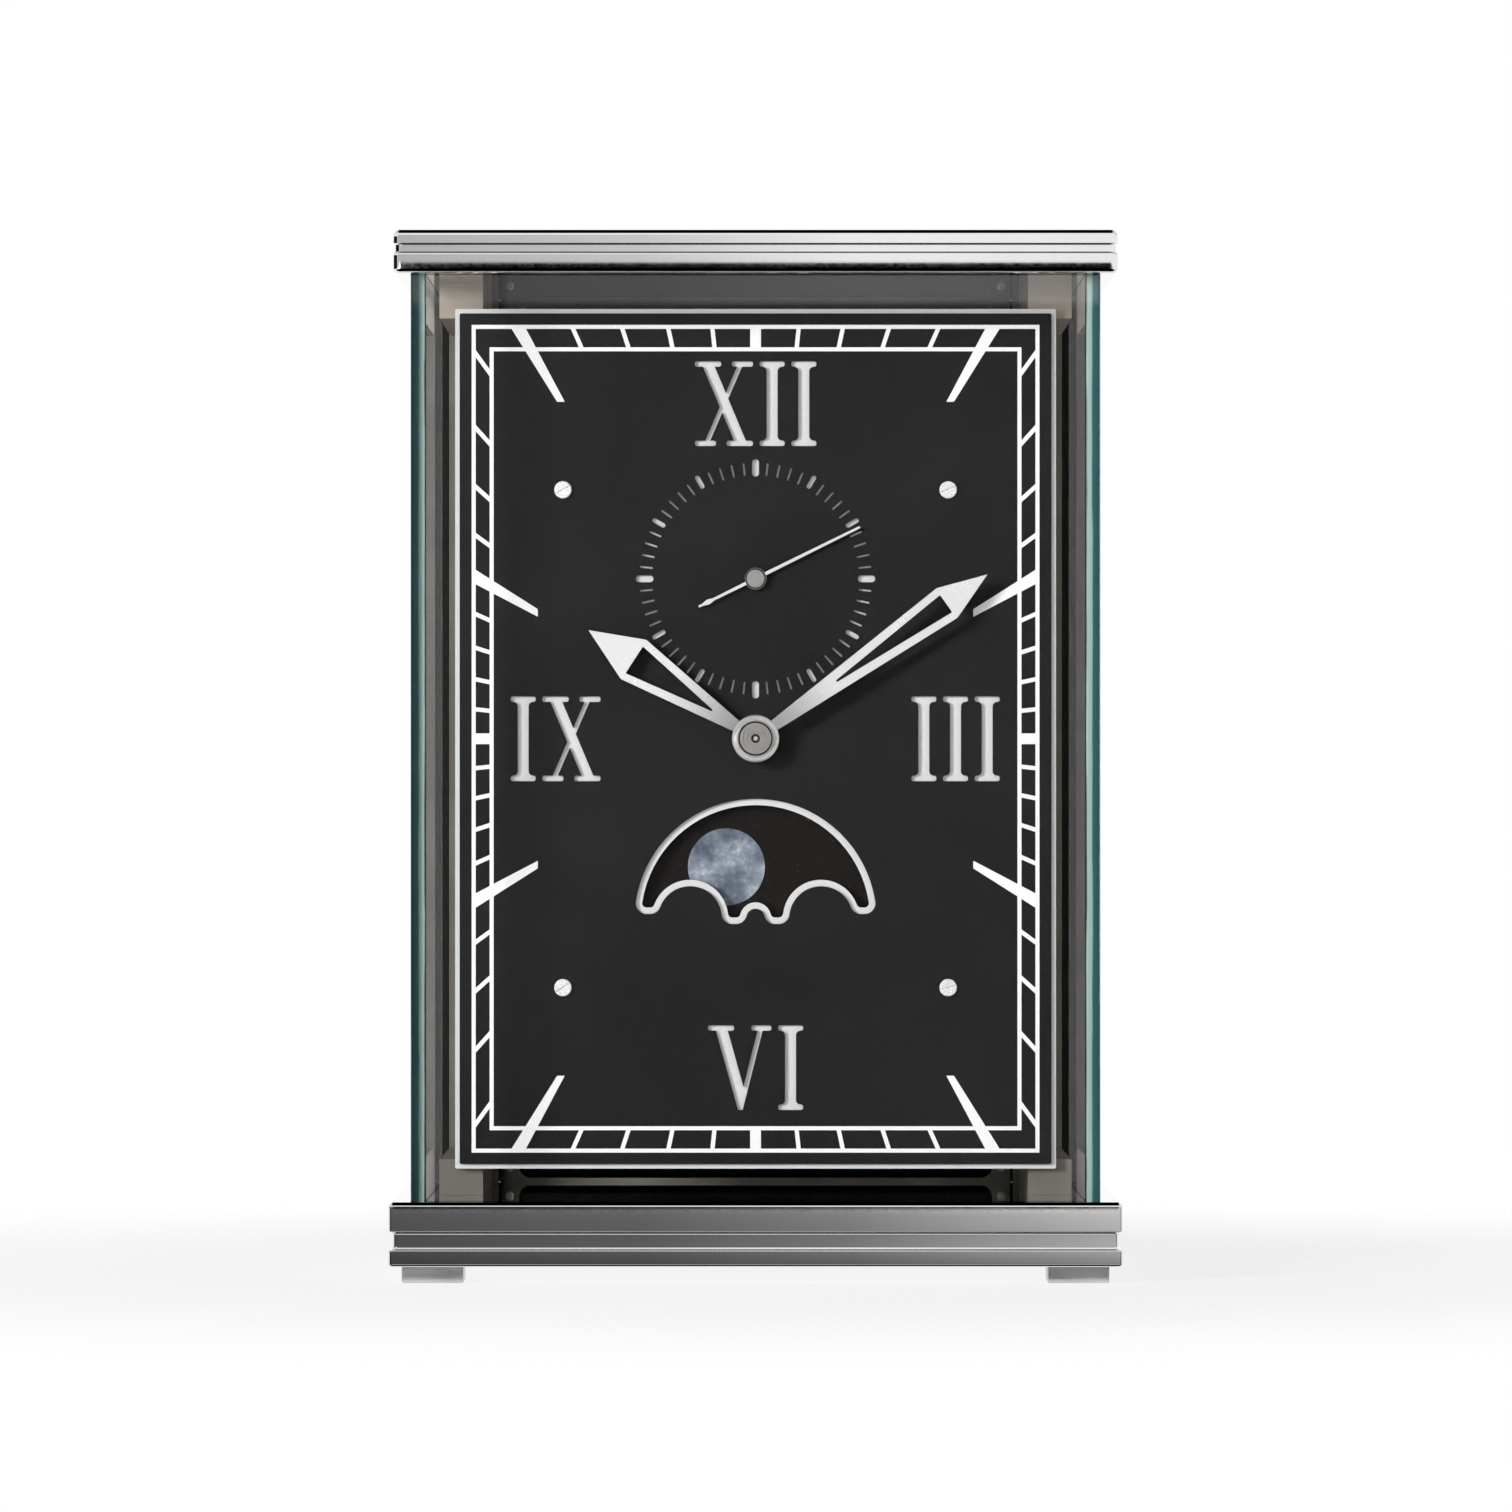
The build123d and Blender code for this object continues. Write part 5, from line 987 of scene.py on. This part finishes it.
# Nodes whose sharp edges are eased: body, slot, finish and width of the easing
eased_nodes = {
    "lower_rails": ("case", "satin_alloy", "satin_alloy", 0.25),
    # The upper rails take the lighter copy of the alloy, painted light against the cap's shadow.
    "upper_rails": ("case", "satin_alloy", "upper_rail_painted_light", 0.25),
    "left_post": ("case", "satin_alloy", "satin_alloy", 0.3),
    "right_post": ("case", "satin_alloy", "satin_alloy", 0.3),
    "dial_uprights": ("case", "satin_alloy", "satin_alloy", 0.25),
    "upright_screws": ("case", "polished_steel", "polished_steel", 0.12),
    "door_frame": ("door", "satin_alloy", "satin_alloy", 0.25),
    "door_knob": ("door", "polished_nickel", "polished_nickel", 0.2),
    "dial_screws": ("case", "polished_steel", "screw_steel", 0.1),
    "dial_pillars": ("case", "brass", "brass", 0.2),
    "front_plate": ("case", "gilt_brass", "gilt_brass", 0.25),
    "back_plate": ("case", "gilt_brass", "gilt_brass", 0.25),
    "plate_pillars": ("case", "brass", "brass", 0.2),
    "pillar_screws": ("case", "polished_steel", "polished_steel", 0.15),
    "setting_knob": ("centre", "brass", "brass", 0.15),
    "escape_bridge": ("case", "gilt_brass", "gilt_brass", 0.15),
    "balance_cock": ("case", "gilt_brass", "gilt_brass", 0.15),
    "balance_wheel": ("balance", "brass", "brass", 0.08),
    "hour_hand": ("hour", "hand_metal", "hand_metal", 0.28),
    "minute_hand": ("centre", "hand_metal", "hand_metal", 0.28),
}


def build_clock():
    """All the pieces of the clock."""
    make_base()
    make_cap()
    make_feet()
    make_pane("front_pane", "front_glass", 0, "left_edge")
    make_pane("left_pane", "left_glass", 1, "left_edge", pane_glue_gap)
    make_pane("right_pane", "right_glass", 1, "right_edge", pane_glue_gap)
    make_moon_disc()
    make_hand_nut()
    make_minute_boss()
    make_centre_pin()
    make_seconds_hand()
    make_seconds_collar()
    make_shade_strips()
    for node, (body, slot, finish, width) in eased_nodes.items():
        eased(node, body, slot, finish, width * MM)
    for node, finish in plain_nodes.items():
        for material_slot in nodes[node].material_slots:
            material_slot.material = finishes[finish]


# Studio


def sheet(name, corners, finish):
    """A flat sheet of the studio, from its four corners."""
    mesh = bpy.data.meshes.new(name)
    mesh.from_pydata(corners, [], [(0, 1, 2, 3)])
    made = add_object(name, mesh)
    made.data.materials.append(finish)
    return made


def card(name, corners, finish, through_glass=False):
    """A card that only reflections see, those inside glass too where it says so."""
    made = sheet(name, corners, finish)
    made.visible_camera = False
    made.visible_diffuse = False
    made.visible_transmission = through_glass
    made.visible_shadow = False
    made.visible_volume_scatter = False
    return made


def card_material(name):
    """A material that only glows."""
    finish, tree = bare_material(name)
    tree.nodes.remove(tree.nodes["Principled BSDF"])
    glow = add_node(tree, "ShaderNodeEmission")
    tree.links.new(glow.outputs["Emission"], tree.nodes["Material Output"].inputs["Surface"])
    return finish, tree, glow


def flag_material(name, tone):
    """A card of one dark tone."""
    finish, tree, glow = card_material(name)
    glow.inputs["Color"].default_value = (tone, tone, tone, 1)
    return finish


def axis_ramp(tree, axis, ends, stops):
    """A tone that changes along one axis of the card."""
    axes = add_node(tree, "ShaderNodeSeparateXYZ", None, {"Vector": object_place(tree)})
    along = ranged(tree, axes.outputs[axis], 0.0, 1.0, *ends)
    return ramped(tree, along, [(position, (tone, tone, tone)) for position, tone in stops])


def wall_material():
    """The wall across the room: a bright window far left, paler high up, with a dark opening."""
    finish, tree, glow = card_material("wall_card")
    high_part = axis_ramp(tree, "Z", (0.0, 1.0), ((0.0, 0.0), (0.441, 0.0), (0.445, 1.0)))
    low_part = axis_ramp(tree, "Z", (0.0, 1.0), ((0.0, 1.0), (0.441, 1.0), (0.445, 0.0)))
    across = axis_ramp(tree, "X", (-0.24, 0.24), ((0.0, 0.50), (0.35, 0.68), (0.62, 1.0)))
    opening = axis_ramp(tree, "X", (-1.0, 1.0),
                        ((0.0, 3.0), (0.20, 3.0), (0.34, 1.1), (0.380, 1.0), (0.384, 0.0),
                         (0.616, 0.0), (0.620, 0.08), (1.0, 0.25)))
    both = vector_of(tree, "ADD", vector_of(tree, "MULTIPLY", high_part, across),
                     vector_of(tree, "MULTIPLY", low_part, opening))
    tree.links.new(both, glow.inputs["Color"])
    return finish


def ceiling_material():
    """A ceiling that is dark above the clock and pales all round."""
    finish, tree, glow = card_material("ceiling_card")
    across = axis_ramp(tree, "X", (-1.0, 1.0), ((0.0, 0.0), (0.15, 0.0), (0.34, 1.0), (0.66, 1.0),
                                                (0.85, 0.0)))
    along = axis_ramp(tree, "Y", (-1.0, 2.0), ((0.0, 1.0), (0.66, 1.0), (0.92, 0.0)))
    pale = 0.8
    tone = vector_of(tree, "MULTIPLY_ADD", vector_of(tree, "MULTIPLY", across, along),
                     (-pale, -pale, -pale), (pale, pale, pale))
    tree.links.new(tone, glow.inputs["Color"])
    return finish


def table_material():
    """A card standing for a dark glossy table: a painted sheen that glows only where it is seen at a low
    angle, darker on the left.

    Steep rays pass through it beside the base, and everywhere inside glass.
    """
    finish, tree, glow = card_material("table_card")
    across = axis_ramp(tree, "X", (-0.115, 0.115), ((0.0, 0.11), (0.35, 0.15), (0.62, 0.26),
                                                    (1.0, 0.62)))
    away = axis_ramp(tree, "Y", (-0.07, -0.62), ((0.0, 0.0), (0.17, 0.55), (0.45, 0.85),
                                                 (0.75, 1.0), (0.84, 1.5), (0.86, 0.0)))
    # Painted sheen: the card glows more as it is seen at a lower angle.
    sheen = add_node(tree, "ShaderNodeLayerWeight", None, {"Blend": 0.5})
    low_angle = ranged(tree, sheen.outputs["Facing"], 0.0, 1.0, 0.80, 0.90)
    tree.links.new(vector_of(tree, "MULTIPLY", across, away), glow.inputs["Color"])
    tree.links.new(low_angle, glow.inputs["Strength"])
    path = add_node(tree, "ShaderNodeLightPath")
    beside = axis_ramp(tree, "Y", (-0.07, -0.17), ((0.0, 0.0), (0.16, 0.0), (0.17, 1.0),
                                                   (0.44, 1.0), (0.46, 0.0)))
    through = math_of(tree, "MAXIMUM", path.outputs["Is Transmission Ray"], beside)
    unseen = math_of(tree, "MULTIPLY", through, ranged(tree, low_angle, 1.0, 0.0))
    clear = add_node(tree, "ShaderNodeBsdfTransparent")
    surface_mix(tree, unseen, glow.outputs["Emission"], clear.outputs["BSDF"])
    return finish


def looked_at(tree):
    """One for rays from the camera, a mirror or glass, and nought for the others."""
    path = add_node(tree, "ShaderNodeLightPath")
    seen = math_of(tree, "MAXIMUM", path.outputs["Is Camera Ray"], path.outputs["Is Glossy Ray"])
    return math_of(tree, "MAXIMUM", seen, path.outputs["Is Transmission Ray"])


def floor_material():
    """A pale floor that keeps the clock's shadow and runs out into white."""
    finish, tree = bare_material("floor")
    tree.nodes.remove(tree.nodes["Principled BSDF"])
    length = vector_of(tree, "LENGTH", object_place(tree))
    far = ranged(tree, length, 0.0, 1.0, 0.14, 0.45, "SMOOTHSTEP")
    matt = add_node(tree, "ShaderNodeBsdfDiffuse", None, {"Color": (0.86, 0.86, 0.86, 1)})
    white = add_node(tree, "ShaderNodeEmission")
    share = math_of(tree, "MULTIPLY", ranged(tree, far, 0.82, 1.0), looked_at(tree))
    surface_mix(tree, share, matt.outputs["BSDF"], white.outputs["Emission"])
    return finish


def make_floor():
    reach = 30.0
    sheet("floor", [(-reach, -reach, 0), (reach, -reach, 0), (reach, reach, 0), (-reach, reach, 0)],
          floor_material())


def light_world():
    """White where the camera, metal and glass look, and a soft even light on the rest."""
    world = bpy.data.worlds.new("studio")
    world.use_nodes = True
    bpy.context.scene.world = world
    tree = world.node_tree
    background = tree.nodes["Background"]
    background.inputs["Color"].default_value = (1, 1, 1, 1)
    tree.links.new(ranged(tree, looked_at(tree), 0.13, 1.0), background.inputs["Strength"])


def lamp(name, place, target, size, power):
    """A soft square lamp aimed at a point, which no mirror or glass shows."""
    light = bpy.data.lights.new(name, "AREA")
    light.shape = "SQUARE"
    light.size = size
    light.energy = power
    made = add_object(name, light)
    made.visible_glossy = False
    made.visible_transmission = False
    made.location = place
    made.rotation_euler = (Vector(target) - Vector(place)).to_track_quat("-Z", "Y").to_euler()


def make_camera():
    """The photograph's viewpoint: level, straight on, a little below the clock's middle."""
    camera = bpy.data.cameras.new("camera")
    camera.lens = 213.1
    camera.sensor_width = 36.0
    camera.shift_x = 0.0003
    camera.shift_y = 0.0344
    made = add_object("camera", camera)
    made.location = (0, -2.448, 0.1263)
    made.rotation_euler = (math.radians(90), 0, 0)
    bpy.context.scene.camera = made


def set_studio():
    """Floor, world, cards, lamps and camera."""
    table_z = 0.0005
    table_ends = (-3.31, -0.073)
    wall_y = -3.3
    flag_x = -2.6
    make_floor()
    light_world()
    card("ceiling_card", [(-3.0, -0.55, 1.1), (3.0, -0.55, 1.1), (3.0, 4.0, 1.1), (-3.0, 4.0, 1.1)],
         ceiling_material())
    card("wall_card", [(-4.0, wall_y, 0.0), (4.0, wall_y, 0.0), (4.0, wall_y, 2.2),
                       (-4.0, wall_y, 2.2)],
         wall_material(), through_glass=True)
    card("table_card", [(-0.7, table_ends[0], table_z), (0.7, table_ends[0], table_z),
                        (0.7, table_ends[1], table_z), (-0.7, table_ends[1], table_z)],
         table_material(), through_glass=True)
    card("left_flag", [(flag_x, -1.9, 0.0), (flag_x, 2.2, 0.0), (flag_x, 2.2, 0.6),
                       (flag_x, -1.9, 0.6)],
         flag_material("left_flag", 0.01))
    # A near-black card, seen only through glass, standing just behind the door's lower edge: painted
    # shade of the floor behind the clock.
    door_shade_card = card("door_shade_card", [(-0.075, 0.08, 0.0), (0.075, 0.08, 0.0), (0.075, 0.08, 0.034),
                                   (-0.075, 0.08, 0.034)],
                     flag_material("door_shade_card", 0.02), through_glass=True)
    door_shade_card.visible_glossy = False
    lamp("key_lamp", (-1.75, -2.0, 0.68), (0, -0.03, 0.15), 0.6, 80)
    lamp("fill_lamp", (0.3, -2.3, 0.2), (0, -0.03, 0.2), 0.8, 8)
    lamp("rear_lamp", (-1.0, 1.8, 1.2), (0, 0, 0.15), 0.8, 8)
    make_camera()
    bpy.context.scene.view_settings.view_transform = "Standard"


build_clock()
set_studio()
